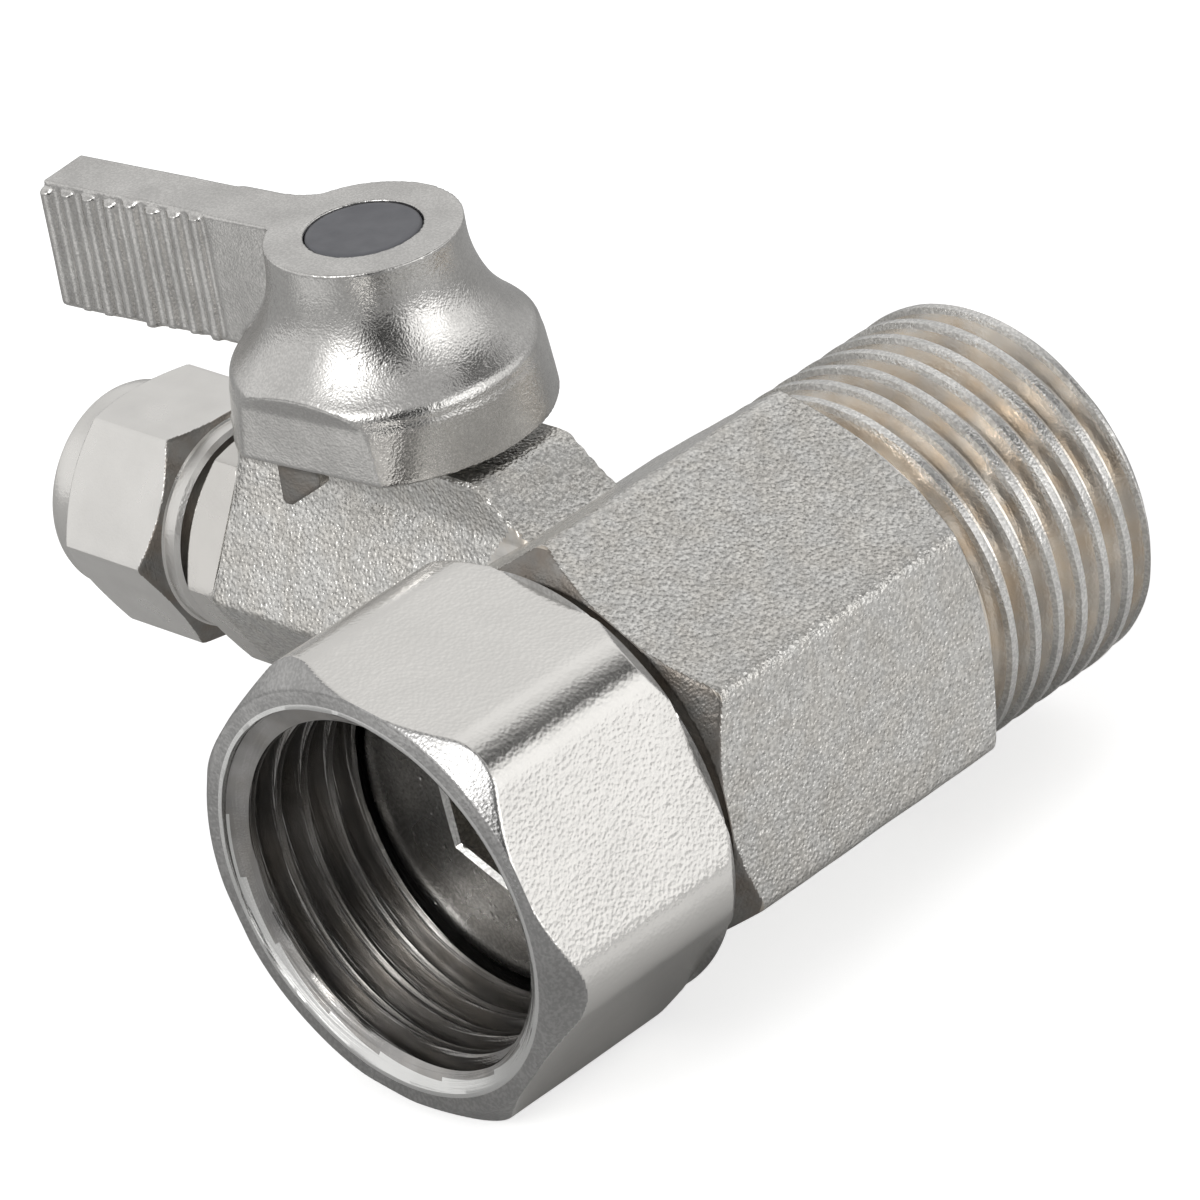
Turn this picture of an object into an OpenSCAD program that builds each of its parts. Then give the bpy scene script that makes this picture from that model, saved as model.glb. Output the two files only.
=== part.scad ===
// Tee adapter with a small ball valve on its side branch.
// The run lies along Y: swivel nut at the -Y end, male pipe thread at the +Y end.
// The branch lies along -X and carries the ball, the lever handle on +Z and a compression nut.
// The origin is where the run's axis and the branch's axis cross.

/* [Run] */
// Across flats of the run's hexagon
run_af = 21; // [20.4:0.1:22]
// Turn of the run's hexagon about its own axis
run_hex_turn = 2.9; // [0:0.1:5]
// Ridge-to-ridge end of the hexagon nearest the nut
hex_nut_end = -9.25; // [-9.6:0.05:-8.8]
// End of the hexagon nearest the male thread
hex_thread_end = 8.2; // [7.8:0.1:8.4]
// Far end of the male thread
thread_end = 22.1; // [21:0.1:24]
// Radius of the straight waterway through the run
run_bore_r = 7; // [6:0.1:7]

/* [Pipe thread] */
// Major diameter of the pipe thread
pipe_major_d = 20.955; // [20.955]
// Pitch of the pipe thread
pipe_pitch = 1.814; // [1.814]

/* [Swivel nut] */
// Across flats of the swivel nut
swivel_af = 23; // [22.6:0.1:24]
// Turn of the swivel nut about the run's axis
swivel_turn = 50.8; // [0:0.1:60]
// Front face of the nut, where the pipe enters
swivel_front = -24.5; // [-26:0.1:-24]
// Back edge of the nut
swivel_back = -11.9; // [-12.1:0.1:-11.8]
// Face of the tail insert inside the nut
insert_face = -15.95; // [-16.2:0.05:-15.7]
// Across flats of the key socket in the tail insert
insert_key_af = 7; // [6:0.5:8]

/* [Branch] */
// Distance from the run's axis to the stem's axis
stem_offset = 20.26; // [20.2:0.02:20.6]
// Across flats of the branch's hexagon
branch_af = 12.56; // [12.3:0.02:13]
// Outer end of the branch
branch_end = 29.5; // [29.3:0.1:30]
// Half the width of the block under the handle
block_half_w = 3.4; // [3.2:0.1:3.8]
// Height of the block's flat top
block_top = 9.5; // [9:0.1:9.6]

/* [Ball and stem] */
// Radius of the ball
ball_r = 4; // [3.8:0.1:4.1]
// Radius of the waterway through ball, seats and connector
port_r = 1.9; // [1.5:0.1:2]
// Radius of the stem's shank
stem_r = 2.45; // [2.4:0.01:2.5]

/* [Handle] */
// Direction of the lever, seen from above
lever_angle = 186.5; // [180:0.5:190]
// Distance from the stem's axis to the lever's tip
lever_reach = 20.5; // [18:0.5:24]
// Half the lever's thickness
lever_half_w = 1.75; // [1.6:0.05:2]
// Top of the handle
handle_top = 20.55; // [20:0.05:21]
// Underside of the lever
lever_bottom = 13.13; // [13:0.01:13.6]
// Radius of the handle's flat top round the cap
hub_r = 5.2; // [5:0.1:5.4]
// Across the two flats on the handle's skirt
skirt_af = 14.2; // [14:0.1:15]
// Ribs on each side of the lever
rib_count = 8; // [4:1:9]
// Distance between ribs
rib_pitch = 1.45; // [1.2:0.05:1.5]

/* [Compression end] */
// Across flats of the compression nut
comp_af = 12.2; // [12:0.1:13]
// Radius of the tube that the nut grips
tube_r = 3.175; // [3.175]
// Radial slack of the socket round the tube
tube_slack = 0.075; // [0.05:0.005:0.1]

/* [Hidden] */

$fn = 96;
eps = 0.5;
running_gap = 0.05;
thread_gap = 0.03;
face_gap = 0.05;

nickel = [0.76, 0.75, 0.73];
bright_nickel = [0.82, 0.81, 0.79];
brass = [0.80, 0.66, 0.38];
zinc = [0.72, 0.71, 0.69];
ptfe = [0.94, 0.94, 0.92];
rubber = [0.08, 0.08, 0.08];
steel = [0.70, 0.71, 0.72];
cap_grey = [0.27, 0.27, 0.29];

pipe_major_r = pipe_major_d / 2;
pipe_depth = 0.6403 * pipe_pitch;
pipe_minor_r = pipe_major_r - pipe_depth;
flank = pipe_depth * tan(27.5);
crest_half = (pipe_pitch - 2 * flank) / 4;

ridge_trim = 0.16;
hex_chamfer = 1.15;
male_start = hex_thread_end + 0.7;
male_crests = floor((thread_end - male_start - 0.9) / pipe_pitch);
male_last = thread_end - 0.9;

neck_r = 9.9;
neck_end = hex_nut_end - 1.9;
insert_r = 7.2;
insert_start = -3.5;
insert_bore_r = 5;
insert_flange_r = 9.1;
insert_flange_back = insert_face + 1.6;
insert_socket_depth = 3.4;
lip_bore_r = insert_r + running_gap;
lip_inner = swivel_back - 1.4;
relief_r = 10.6;
relief_start = insert_face - 0.3;
washer_r = 10.2;
swivel_ridge_r = 12.7;
swivel_crests = 4;
tail_ring_y = -9.9;
tail_ring_section = 0.56;
tail_ring_r = insert_r - 0.02 - tail_ring_section;

chamber_r = 4.5;
seat_reach = 4.15;
seat_face = 2;
seat_gap = 0.05;
connector_r = 5;
connector_nose = stem_offset + seat_reach + seat_gap;
facet_top_x = -11.5;
facet_low = [-8.9, 7.4];
orifice_end = 6.6;

boss_r = 4.6;
boss_top = 12.3;
flange_r = 3;
flange_z = [4.5, 5.25];
tongue_r = 1.9;
stem_washer_z = [5.3, 5.65];
pocket_top = 5.7;
slot_w = 1.6;
slot_floor = 2.5;
drive_af = 3.3;
drive_top = 15.1;
drive_slack = 0.05;
stem_ring_section = 0.42;
stem_ring_r = stem_r - stem_ring_section + 0.02;
stem_ring_z = [7.2, 9.2];
screw_r = 1.17;

skirt_bottom = 10.05;
skirt_bottom_r = 8.6;
crease_z = 13;
crease_r = 8.4;
flare_r = 7.4;
flare_top_z = 19.8;
flare_turn = 49;
shoulder_r = 1.5;
recess_r = 5.6;
recess_top = 12.6;
web_top = 15.2;
cap_pocket_r = 3.1;
cap_r = 3.05;
cap_bottom = 18.6;
cap_top = 20.5;
lever_fillet = 3.5;
root_bite = 0.2;
rib_r = 0.42;
rib_first = 9.85;
lug_len = [-2.6, 0.1];
lug_depth = 2.5;
lug_in = 0.9;
groove_r = [5.9, 7.95];
groove_floor = 7.2;

collar_end = 32;
collar_af = 12.04;
spigot_r = 4.6;
spigot_neck_r = 4.2;
spigot_start = 33.4;
spigot_end = 39.5;
socket_floor = 34.5;
tube_socket_r = tube_r + tube_slack;
comp_start = 33.1;
comp_hex_start = 34.2;
comp_hex_end = 40.5;
comp_end = 43.1;
comp_ring_r = 5.8;
comp_collar_r = 5.7;
comp_turn = 1.3;
comp_hole_r = tube_socket_r;
comp_cone_start = 40.2;
comp_bore_r = spigot_r + running_gap;
ferrule_r = 4.3;
connector_ring_x = 28.6;
connector_ring_section = 0.44;
connector_ring_r = connector_r - thread_gap - connector_ring_section;

// Circumradius of a hexagon from its across-flats size
function corner_r(af) = af / sqrt(3);

// Points of an arc in the plane of a revolved outline
function arc(cx, cy, r, from, to, n) =
    [for (i = [0 : n]) [cx + r * cos(from + (to - from) * i / n), cy + r * sin(from + (to - from) * i / n)]];

// Turns a shape drawn along +Z to lie along +Y
module along_y() {
    rotate([-90, 0, 0]) children();
}

// Turns a shape drawn along +Z to lie along -X
module along_branch() {
    rotate([0, -90, 0]) children();
}

// Moves a shape drawn round the Z axis to the stem's axis
module at_stem() {
    translate([-stem_offset, 0, 0]) children();
}

// Tube between two heights
module ring(inner, outer, from, to) {
    translate([0, 0, from])
        difference() {
            cylinder(r = outer, h = to - from);
            translate([0, 0, -eps]) cylinder(r = inner, h = to - from + 2 * eps);
        }
}

// Solid rod between two heights
module rod(r, from, to) {
    translate([0, 0, from]) cylinder(r = r, h = to - from);
}

// Hexagonal rod between two heights, with a corner at the given angle
module hex_rod(af, corner, from, to) {
    rotate([0, 0, corner]) translate([0, 0, from]) cylinder(r = corner_r(af), h = to - from, $fn = 6);
}

// Round section ring
module round_ring(r, section, at) {
    translate([0, 0, at]) rotate_extrude() translate([r, 0]) circle(r = section, $fn = 32);
}

// Outline points of a row of thread grooves, cut from the crest to the root
function grooves(crest, root, start, count) = [
    for (i = [0 : count - 1]) each [
        [crest, start + i * pipe_pitch + crest_half],
        [root, start + i * pipe_pitch + crest_half + flank],
        [root, start + (i + 1) * pipe_pitch - crest_half - flank],
        [crest, start + (i + 1) * pipe_pitch - crest_half]
    ]
];

// Body: run hexagon, male thread, branch and stem boss in one forging
module run_solid() {
    intersection() {
        hex_rod(run_af, -90 - run_hex_turn, neck_end, hex_thread_end + hex_chamfer);
        rotate_extrude() polygon([
            [0, neck_end + 0.75],
            [corner_r(run_af) - ridge_trim - 1.4, neck_end + 0.75],
            [corner_r(run_af) - ridge_trim, hex_nut_end],
            [corner_r(run_af) - ridge_trim, hex_thread_end],
            [corner_r(run_af) - ridge_trim - 1.4, hex_thread_end + 0.8],
            [0, hex_thread_end + 0.8]
        ]);
    }
    rod(neck_r, neck_end, hex_nut_end);
    rotate_extrude() polygon(concat(
        [[0, 0], [pipe_minor_r, 0], [pipe_minor_r, male_last - male_crests * pipe_pitch]],
        grooves(pipe_major_r, pipe_minor_r, male_last - male_crests * pipe_pitch, male_crests),
        [[pipe_major_r, male_last + 0.3], [pipe_major_r - 0.6, thread_end], [0, thread_end]]
    ));
}

module branch_solid() {
    along_branch() hex_rod(branch_af, 90, 7, branch_end);
    rotate([90, 0, 0]) translate([0, 0, -block_half_w]) linear_extrude(2 * block_half_w) polygon([
        [-branch_end, 0],
        [-branch_end, block_top - 0.3],
        [-branch_end + 0.5, block_top],
        [facet_top_x, block_top],
        facet_low,
        [-7, 5],
        [-7, 0]
    ]);
    at_stem() rod(boss_r, 4, boss_top);
}

// Ring groove that the handle's stop lug travels in
module lug_groove() {
    at_stem() intersection() {
        ring(groove_r[0], groove_r[1], groove_floor, block_top + eps);
        translate([-10, -5, 0]) cube([9, 10, 12]);
    }
}

module valve_body() {
    color(nickel) difference() {
        union() {
            along_y() run_solid();
            branch_solid();
        }
        along_y() rod(run_bore_r, insert_start - 0.3, thread_end + eps);
        along_y() rod(insert_r + thread_gap, neck_end - eps, insert_start);
        along_branch() rod(port_r, orifice_end - 1.6, stem_offset);
        along_branch() rod(chamber_r, stem_offset - seat_reach - seat_gap, connector_nose + eps);
        along_branch() rod(connector_r, connector_nose, branch_end + eps);
        at_stem() rod(stem_r + running_gap, 0, boss_top + eps);
        at_stem() rod(flange_r + running_gap, 0, pocket_top);
        lug_groove();
    }
}

// Swivel nut: hexagon outside, female pipe thread inside, lip at the back
module swivel_nut() {
    thread_from = swivel_front + 0.6;
    color(bright_nickel) along_y() difference() {
        intersection() {
            hex_rod(swivel_af, -swivel_turn, swivel_front, swivel_back);
            rotate_extrude() polygon([
                [0, swivel_front],
                [swivel_af / 2, swivel_front],
                [swivel_ridge_r, swivel_front + 1.3],
                [swivel_ridge_r, swivel_back - 1],
                [12, swivel_back],
                [0, swivel_back]
            ]);
        }
        rotate_extrude() polygon(concat(
            [[0, swivel_front - eps], [pipe_major_r + eps, swivel_front - eps], [pipe_minor_r, thread_from]],
            grooves(pipe_minor_r, pipe_major_r, thread_from, swivel_crests),
            [
                [pipe_minor_r, relief_start],
                [relief_r, relief_start],
                [relief_r, lip_inner],
                [lip_bore_r, lip_inner],
                [lip_bore_r, swivel_back + eps],
                [0, swivel_back + eps]
            ]
        ));
    }
}

// Tail insert: flanged tube screwed into the body, which holds the swivel nut on
module tail_insert() {
    color(bright_nickel) along_y() difference() {
        union() {
            rod(insert_r, insert_flange_back - eps, insert_start);
            rod(insert_flange_r, insert_face, insert_flange_back);
        }
        rod(insert_bore_r, insert_face + insert_socket_depth, insert_start + eps);
        hex_rod(insert_key_af, -216, insert_face - eps, insert_face + insert_socket_depth + eps);
        ring(tail_ring_r - tail_ring_section - 0.02, insert_r + eps, tail_ring_y - 0.7, tail_ring_y + 0.7);
    }
}

module tail_oring() {
    color(rubber) along_y() round_ring(tail_ring_r, tail_ring_section, tail_ring_y);
}

module swivel_washer() {
    color(rubber) along_y() ring(
        insert_r + running_gap, washer_r, insert_flange_back + face_gap, lip_inner - face_gap
    );
}

// End connector: screwed into the branch behind the ball, with the tube's socket and spigot outside
module end_connector() {
    color(bright_nickel) along_branch() difference() {
        union() {
            rod(connector_r - thread_gap, connector_nose, branch_end + eps);
            hex_rod(collar_af, 90, branch_end, collar_end);
            rod(spigot_neck_r, collar_end - eps, spigot_start + eps);
            rod(spigot_r, spigot_start, spigot_end);
        }
        rod(port_r, connector_nose - eps, socket_floor + eps);
        rod(tube_socket_r, socket_floor, spigot_end + eps);
        translate([0, 0, spigot_end - 0.85]) cylinder(r1 = tube_socket_r, r2 = tube_socket_r + 1, h = 1);
        ring(
            connector_ring_r - connector_ring_section - 0.02, connector_r + eps,
            connector_ring_x - 0.6, connector_ring_x + 0.6
        );
    }
}

module connector_oring() {
    color(rubber) along_branch() round_ring(connector_ring_r, connector_ring_section, connector_ring_x);
}

// Seat ring beside the ball: side is 1 towards the run and -1 towards the connector
module seat(side) {
    low = side > 0 ? -seat_face - (seat_reach - seat_face) : seat_face;
    color(ptfe) at_stem() difference() {
        along_branch() ring(port_r, chamber_r - face_gap, low, low + seat_reach - seat_face);
        sphere(r = ball_r + running_gap);
    }
}

module seat_inner() {
    seat(1);
}

module seat_outer() {
    seat(-1);
}

// Ball with its waterway along the branch when open, and a slot on top for the stem
module ball() {
    color(steel) at_stem() difference() {
        sphere(r = ball_r);
        along_branch() rod(port_r, -ball_r - eps, ball_r + eps);
        translate([-slot_w / 2, -ball_r, slot_floor]) cube([slot_w, 2 * ball_r, ball_r]);
    }
}

module stem() {
    tongue = slot_w - 2 * running_gap;
    color(brass) at_stem() difference() {
        union() {
            intersection() {
                translate([-tongue / 2, -3, slot_floor + face_gap])
                    cube([tongue, 6, flange_z[0] - slot_floor + 0.2]);
                rod(tongue_r, 0, 6);
            }
            rod(flange_r, flange_z[0], flange_z[1]);
            rod(stem_r, flange_z[1] - 0.1, boss_top + 0.1);
            intersection() {
                translate([-drive_af / 2, -drive_af / 2, boss_top]) cube([drive_af, drive_af, drive_top - boss_top]);
                rod(stem_r - 0.2, boss_top, drive_top);
            }
        }
        rod(screw_r + thread_gap, 10.4, drive_top + eps);
        for (z = stem_ring_z)
            ring(stem_ring_r - stem_ring_section - 0.02, stem_r + eps, z - 0.55, z + 0.55);
    }
}

module stem_washer() {
    color(ptfe) at_stem() ring(stem_r + running_gap, flange_r, stem_washer_z[0], stem_washer_z[1]);
}

module stem_oring_lower() {
    color(rubber) at_stem() round_ring(stem_ring_r, stem_ring_section, stem_ring_z[0]);
}

module stem_oring_upper() {
    color(rubber) at_stem() round_ring(stem_ring_r, stem_ring_section, stem_ring_z[1]);
}

// Handle hub: flat top, concave flare, rounded shoulder and an upright band
module hub_solid() {
    flare_end = [hub_r + flare_r * (1 - cos(flare_turn)), flare_top_z - flare_r * sin(flare_turn)];
    shoulder = [flare_end[0] - shoulder_r * cos(flare_turn), flare_end[1] - shoulder_r * sin(flare_turn)];
    rotate_extrude() polygon(concat(
        [[0, skirt_bottom], [skirt_bottom_r, skirt_bottom], [crease_r, crease_z]],
        arc(shoulder[0], shoulder[1], shoulder_r, 0, flare_turn, 5),
        arc(hub_r + flare_r, flare_top_z, flare_r, 180 + flare_turn - 5, 180, 10),
        [[hub_r, handle_top - 0.15], [hub_r - 0.15, handle_top], [0, handle_top]]
    ));
}

// Lever outline with curved roots that run into the hub, drawn along +X
module lever_outline() {
    inner = hub_r - root_bite;
    root = sqrt(pow(inner + lever_fillet, 2) - pow(lever_half_w + lever_fillet, 2));
    touch = inner / (inner + lever_fillet);
    difference() {
        polygon([
            [0, 0],
            [root * touch, (lever_half_w + lever_fillet) * touch],
            [root, lever_half_w],
            [lever_reach, lever_half_w],
            [lever_reach, -lever_half_w],
            [root, -lever_half_w],
            [root * touch, -(lever_half_w + lever_fillet) * touch]
        ]);
        for (side = [-1, 1])
            translate([root, side * (lever_half_w + lever_fillet)]) circle(r = lever_fillet - 0.001);
    }
}

module lever_solid() {
    translate([0, 0, lever_bottom]) linear_extrude(handle_top - lever_bottom) lever_outline();
    for (side = [-1, 1], i = [0 : rib_count - 1])
        translate([rib_first + i * rib_pitch, side * (lever_half_w - 0.18), lever_bottom + 0.15])
            cylinder(r = rib_r, h = handle_top - lever_bottom - 0.5);
}

// Stop lug hanging from one end of the flat
module stop_lug() {
    flat = skirt_af / 2;
    translate([0, flat, 0]) rotate([90, 0, 0]) linear_extrude(lug_in) polygon([
        [-lug_len[0], skirt_bottom + 0.3],
        [-lug_len[0], skirt_bottom - lug_depth + 0.2],
        [-lug_len[0] - 0.4, skirt_bottom - lug_depth],
        [-lug_len[1], skirt_bottom - 0.95],
        [-lug_len[1], skirt_bottom + 0.3]
    ]);
}

module handle() {
    flat = skirt_af / 2;
    color(zinc) at_stem() rotate([0, 0, lever_angle]) difference() {
        union() {
            difference() {
                hub_solid();
                for (side = [0, 180])
                    rotate([0, 0, side]) rotate([90, 0, 90]) translate([0, 0, -12]) linear_extrude(24) polygon([
                        [flat, skirt_bottom - eps],
                        [flat, crease_z + 0.2],
                        [flat + 0.45, crease_z + 1.5],
                        [12, crease_z + 1.5],
                        [12, skirt_bottom - eps]
                    ]);
            }
            lever_solid();
            stop_lug();
        }
        rod(recess_r, skirt_bottom - eps, recess_top);
        rod(cap_pocket_r, web_top, handle_top + eps);
        rotate([0, 0, -lever_angle]) translate([-drive_af / 2 - drive_slack, -drive_af / 2 - drive_slack, recess_top - eps])
            cube([drive_af + 2 * drive_slack, drive_af + 2 * drive_slack, web_top - recess_top + 2 * eps]);
    }
}

module handle_screw() {
    color(steel) at_stem() difference() {
        union() {
            rod(screw_r, 11, 16);
            rod(2.4, 15.75, 16.6);
            translate([0, 0, 16.6]) cylinder(r1 = 2.4, r2 = 1.7, h = 0.5);
        }
        for (turn = [0, 90])
            rotate([0, 0, turn]) translate([-1.5, -0.3, 16.2]) cube([3, 0.6, 2]);
    }
}

module handle_screw_washer() {
    color(steel) at_stem() ring(screw_r + 0.15, 2.7, web_top + face_gap, 15.7);
}

module handle_cap() {
    color(cap_grey) at_stem() rod(cap_r, cap_bottom, cap_top);
}

// Compression nut: hexagon between a short round end and the collar where the tube enters
module compression_nut() {
    ridge = corner_r(comp_af);
    color(bright_nickel) along_branch() difference() {
        intersection() {
            hex_rod(comp_af, 90 + comp_turn, comp_start, comp_end);
            rotate_extrude() polygon([
                [0, comp_start],
                [comp_ring_r, comp_start],
                [comp_ring_r, comp_hex_start],
                [ridge + 0.1, comp_hex_start + 0.8],
                [ridge + 0.1, comp_hex_end],
                [comp_collar_r, comp_hex_end + 0.9],
                [comp_collar_r, comp_end - 0.35],
                [comp_collar_r - 0.35, comp_end],
                [0, comp_end]
            ]);
        }
        rotate_extrude() polygon([
            [0, comp_start - eps],
            [comp_bore_r, comp_start - eps],
            [comp_bore_r, comp_cone_start],
            [comp_hole_r, comp_cone_start + comp_bore_r - comp_hole_r],
            [comp_hole_r, comp_end + eps],
            [0, comp_end + eps]
        ]);
    }
}

// Ferrule: brass ring with a cone at each end
module ferrule() {
    color(brass) along_branch() rotate_extrude() polygon([
        [tube_socket_r, spigot_end - 0.45],
        [tube_socket_r + 0.2, spigot_end - 0.45],
        [ferrule_r, spigot_end + 0.4],
        [ferrule_r, spigot_end + 0.65],
        [tube_socket_r + 0.25, spigot_end + 1.45],
        [tube_socket_r, spigot_end + 1.45]
    ]);
}

valve_body();
swivel_nut();
tail_insert();
tail_oring();
swivel_washer();
end_connector();
connector_oring();
seat_inner();
seat_outer();
ball();
stem();
stem_washer();
stem_oring_lower();
stem_oring_upper();
handle();
handle_screw();
handle_screw_washer();
handle_cap();
compression_nut();
ferrule();
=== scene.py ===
import math
import time

import bmesh
import bpy
import numpy as np
from mathutils import Matrix, Vector, noise


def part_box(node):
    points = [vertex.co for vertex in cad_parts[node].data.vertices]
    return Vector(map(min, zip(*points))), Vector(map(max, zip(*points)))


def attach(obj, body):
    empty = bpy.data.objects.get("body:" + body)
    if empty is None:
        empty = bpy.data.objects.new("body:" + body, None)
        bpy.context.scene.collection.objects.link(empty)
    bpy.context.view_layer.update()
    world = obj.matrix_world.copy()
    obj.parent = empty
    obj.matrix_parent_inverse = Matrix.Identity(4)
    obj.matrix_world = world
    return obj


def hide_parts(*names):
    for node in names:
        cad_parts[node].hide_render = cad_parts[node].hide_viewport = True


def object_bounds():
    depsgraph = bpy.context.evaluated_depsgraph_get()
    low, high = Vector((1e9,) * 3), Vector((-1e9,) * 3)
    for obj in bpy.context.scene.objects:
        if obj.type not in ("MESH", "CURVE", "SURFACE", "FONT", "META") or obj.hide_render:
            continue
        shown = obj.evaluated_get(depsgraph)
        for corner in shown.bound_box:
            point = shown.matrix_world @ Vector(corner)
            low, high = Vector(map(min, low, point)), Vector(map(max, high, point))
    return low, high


# Tee adapter with a small ball valve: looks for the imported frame.
# Pieces are built in millimetres round their own axis, then laid in the frame in metres.
startTime = time.time()
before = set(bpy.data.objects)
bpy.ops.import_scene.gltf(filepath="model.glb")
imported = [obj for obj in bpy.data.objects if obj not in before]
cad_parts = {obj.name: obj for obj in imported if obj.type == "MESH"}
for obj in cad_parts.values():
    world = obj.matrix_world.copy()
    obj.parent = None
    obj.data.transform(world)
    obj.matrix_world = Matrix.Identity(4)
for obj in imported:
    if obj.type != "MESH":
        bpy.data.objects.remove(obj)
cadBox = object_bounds()
mm = 0.001


def report(stage):
    print(f"[{time.time() - startTime:5.1f} s] {stage}")


def lowHigh(node):
    low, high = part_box(node)
    return low / mm, high / mm


report("frame loaded")

# Camera, floor and light
cameraSetup = {
    "azimuth": 48.016,
    "elevation": 28.64,
    "roll": -10.011,
    "distance": 398.78,  # mm from the aim point
    "aim": (-3.62, -3.50, 5.12),
    "lens": 240.23,
}


def makeCamera(setup):
    azimuth, elevation, roll = (math.radians(setup[k]) for k in ("azimuth", "elevation", "roll"))
    back = Vector((
        math.cos(elevation) * math.sin(azimuth),
        -math.cos(elevation) * math.cos(azimuth),
        math.sin(elevation),
    ))
    level = Vector((0, 0, 1)).cross(back).normalized()
    upright = back.cross(level)
    right = level * math.cos(roll) + upright * math.sin(roll)
    up = upright * math.cos(roll) - level * math.sin(roll)
    data = bpy.data.cameras.new("camera")
    data.lens = setup["lens"]
    data.clip_start = 0.02
    data.clip_end = 20
    camera = bpy.data.objects.new("camera", data)
    turn = Matrix((right, up, back)).transposed().to_4x4()
    camera.matrix_world = Matrix.Translation((Vector(setup["aim"]) + back * setup["distance"]) * mm) @ turn
    bpy.context.scene.collection.objects.link(camera)
    bpy.context.scene.camera = camera


# Each lamp: azimuth and elevation, distance and size in metres, watts and tint
lightSetup = {
    "keyPanel": (10, 36, 1.0, 0.35, 1.6, (1.0, 1.0, 0.99)),
}


def makeLights(setup):
    for name, (azimuth, elevation, distance, size, power, tint) in setup.items():
        a, e = math.radians(azimuth), math.radians(elevation)
        direction = Vector((math.cos(e) * math.sin(a), -math.cos(e) * math.cos(a), math.sin(e)))
        data = bpy.data.lights.new(name, "AREA")
        data.shape = "DISK"
        data.size = size
        data.energy = power
        data.color = tint
        lamp = bpy.data.objects.new(name, data)
        lamp.location = direction * distance
        lamp.rotation_mode = "QUATERNION"
        lamp.rotation_quaternion = direction.to_track_quat("Z", "Y")
        bpy.context.scene.collection.objects.link(lamp)


# Soft panels and a dark card: direction, cosine where each fades in and is full, and brightness
studioPanels = {
    "left panel": ((-0.62, 0.60, 0.52), 0.72, 0.97, 0.20),
    "right panel": ((0.86, 0.50, 0.06), 0.72, 0.97, 0.60),
    "front panel": ((0.15, -0.80, 0.58), 0.84, 0.95, 0.75),
    "side panel": ((-0.75, -0.60, 0.28), 0.60, 0.95, 0.28),
    "near right panel": ((0.97, 0.02, 0.25), 0.90, 0.98, 0.80),
    "back panel": ((0.00, 0.60, 0.80), 0.84, 0.97, 0.26),
    "dark card": ((0.44, 0.55, 0.71), 0.93, 0.99, -0.50),
    "dark room": ((0.74, -0.60, 0.30), 0.87, 0.97, -0.50),
}
studioGlow = 0.50


def makeWorld(panels, glow):
    world = bpy.data.worlds.new("studio")
    bpy.context.scene.world = world
    world.use_nodes = True
    nodes, links = world.node_tree.nodes, world.node_tree.links
    nodes.clear()
    coords = nodes.new("ShaderNodeTexCoord")
    coords.label = "direction"
    coords.location = (-1100, 0)
    total = None
    for row, (name, (direction, start, full, brightness)) in enumerate(panels.items()):
        aim = nodes.new("ShaderNodeVectorMath")
        aim.label = f"{name}: how near"
        aim.location = (-850, -260 * row)
        edge = nodes.new("ShaderNodeMapRange")
        edge.label = f"{name}: soft edge"
        edge.location = (-650, -260 * row)
        aim.operation = "DOT_PRODUCT"
        aim.inputs[1].default_value = Vector(direction).normalized()
        edge.interpolation_type = "SMOOTHSTEP"
        edge.inputs["From Min"].default_value = start
        edge.inputs["From Max"].default_value = full
        edge.inputs["To Max"].default_value = brightness
        links.new(coords.outputs["Generated"], aim.inputs[0])
        links.new(aim.outputs["Value"], edge.inputs["Value"])
        added = nodes.new("ShaderNodeMath")
        added.label = f"with the {name}"
        added.location = (-420, -260 * row)
        added.operation = "ADD"
        added.inputs[0].default_value = glow
        if total is not None:
            links.new(total.outputs[0], added.inputs[0])
        links.new(edge.outputs[0], added.inputs[1])
        total = added
    background = nodes.new("ShaderNodeBackground")
    background.label = "studio glow"
    background.location = (-150, 0)
    output = nodes.new("ShaderNodeOutputWorld")
    output.location = (50, 0)
    background.inputs["Color"].default_value = (1.0, 0.995, 0.985, 1)
    links.new(total.outputs[0], background.inputs["Strength"])
    links.new(background.outputs["Background"], output.inputs["Surface"])


# Cards lying on the paper, as the metal sees them: centre in metres, full and faded distance, brightness
floorCards = {
    "front card": ((-0.045, -0.078, 0), 0.022, 0.048, 0.48),
    "right card": ((0.060, 0.030, 0), 0.028, 0.075, 0.40),
}


paperSetup = {
    "seen": 0.72,
    "glow": 0.66,
    "inReflections": 0.50,
    "half": 3.0,  # metres
    "below": 0.0001,
}


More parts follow.
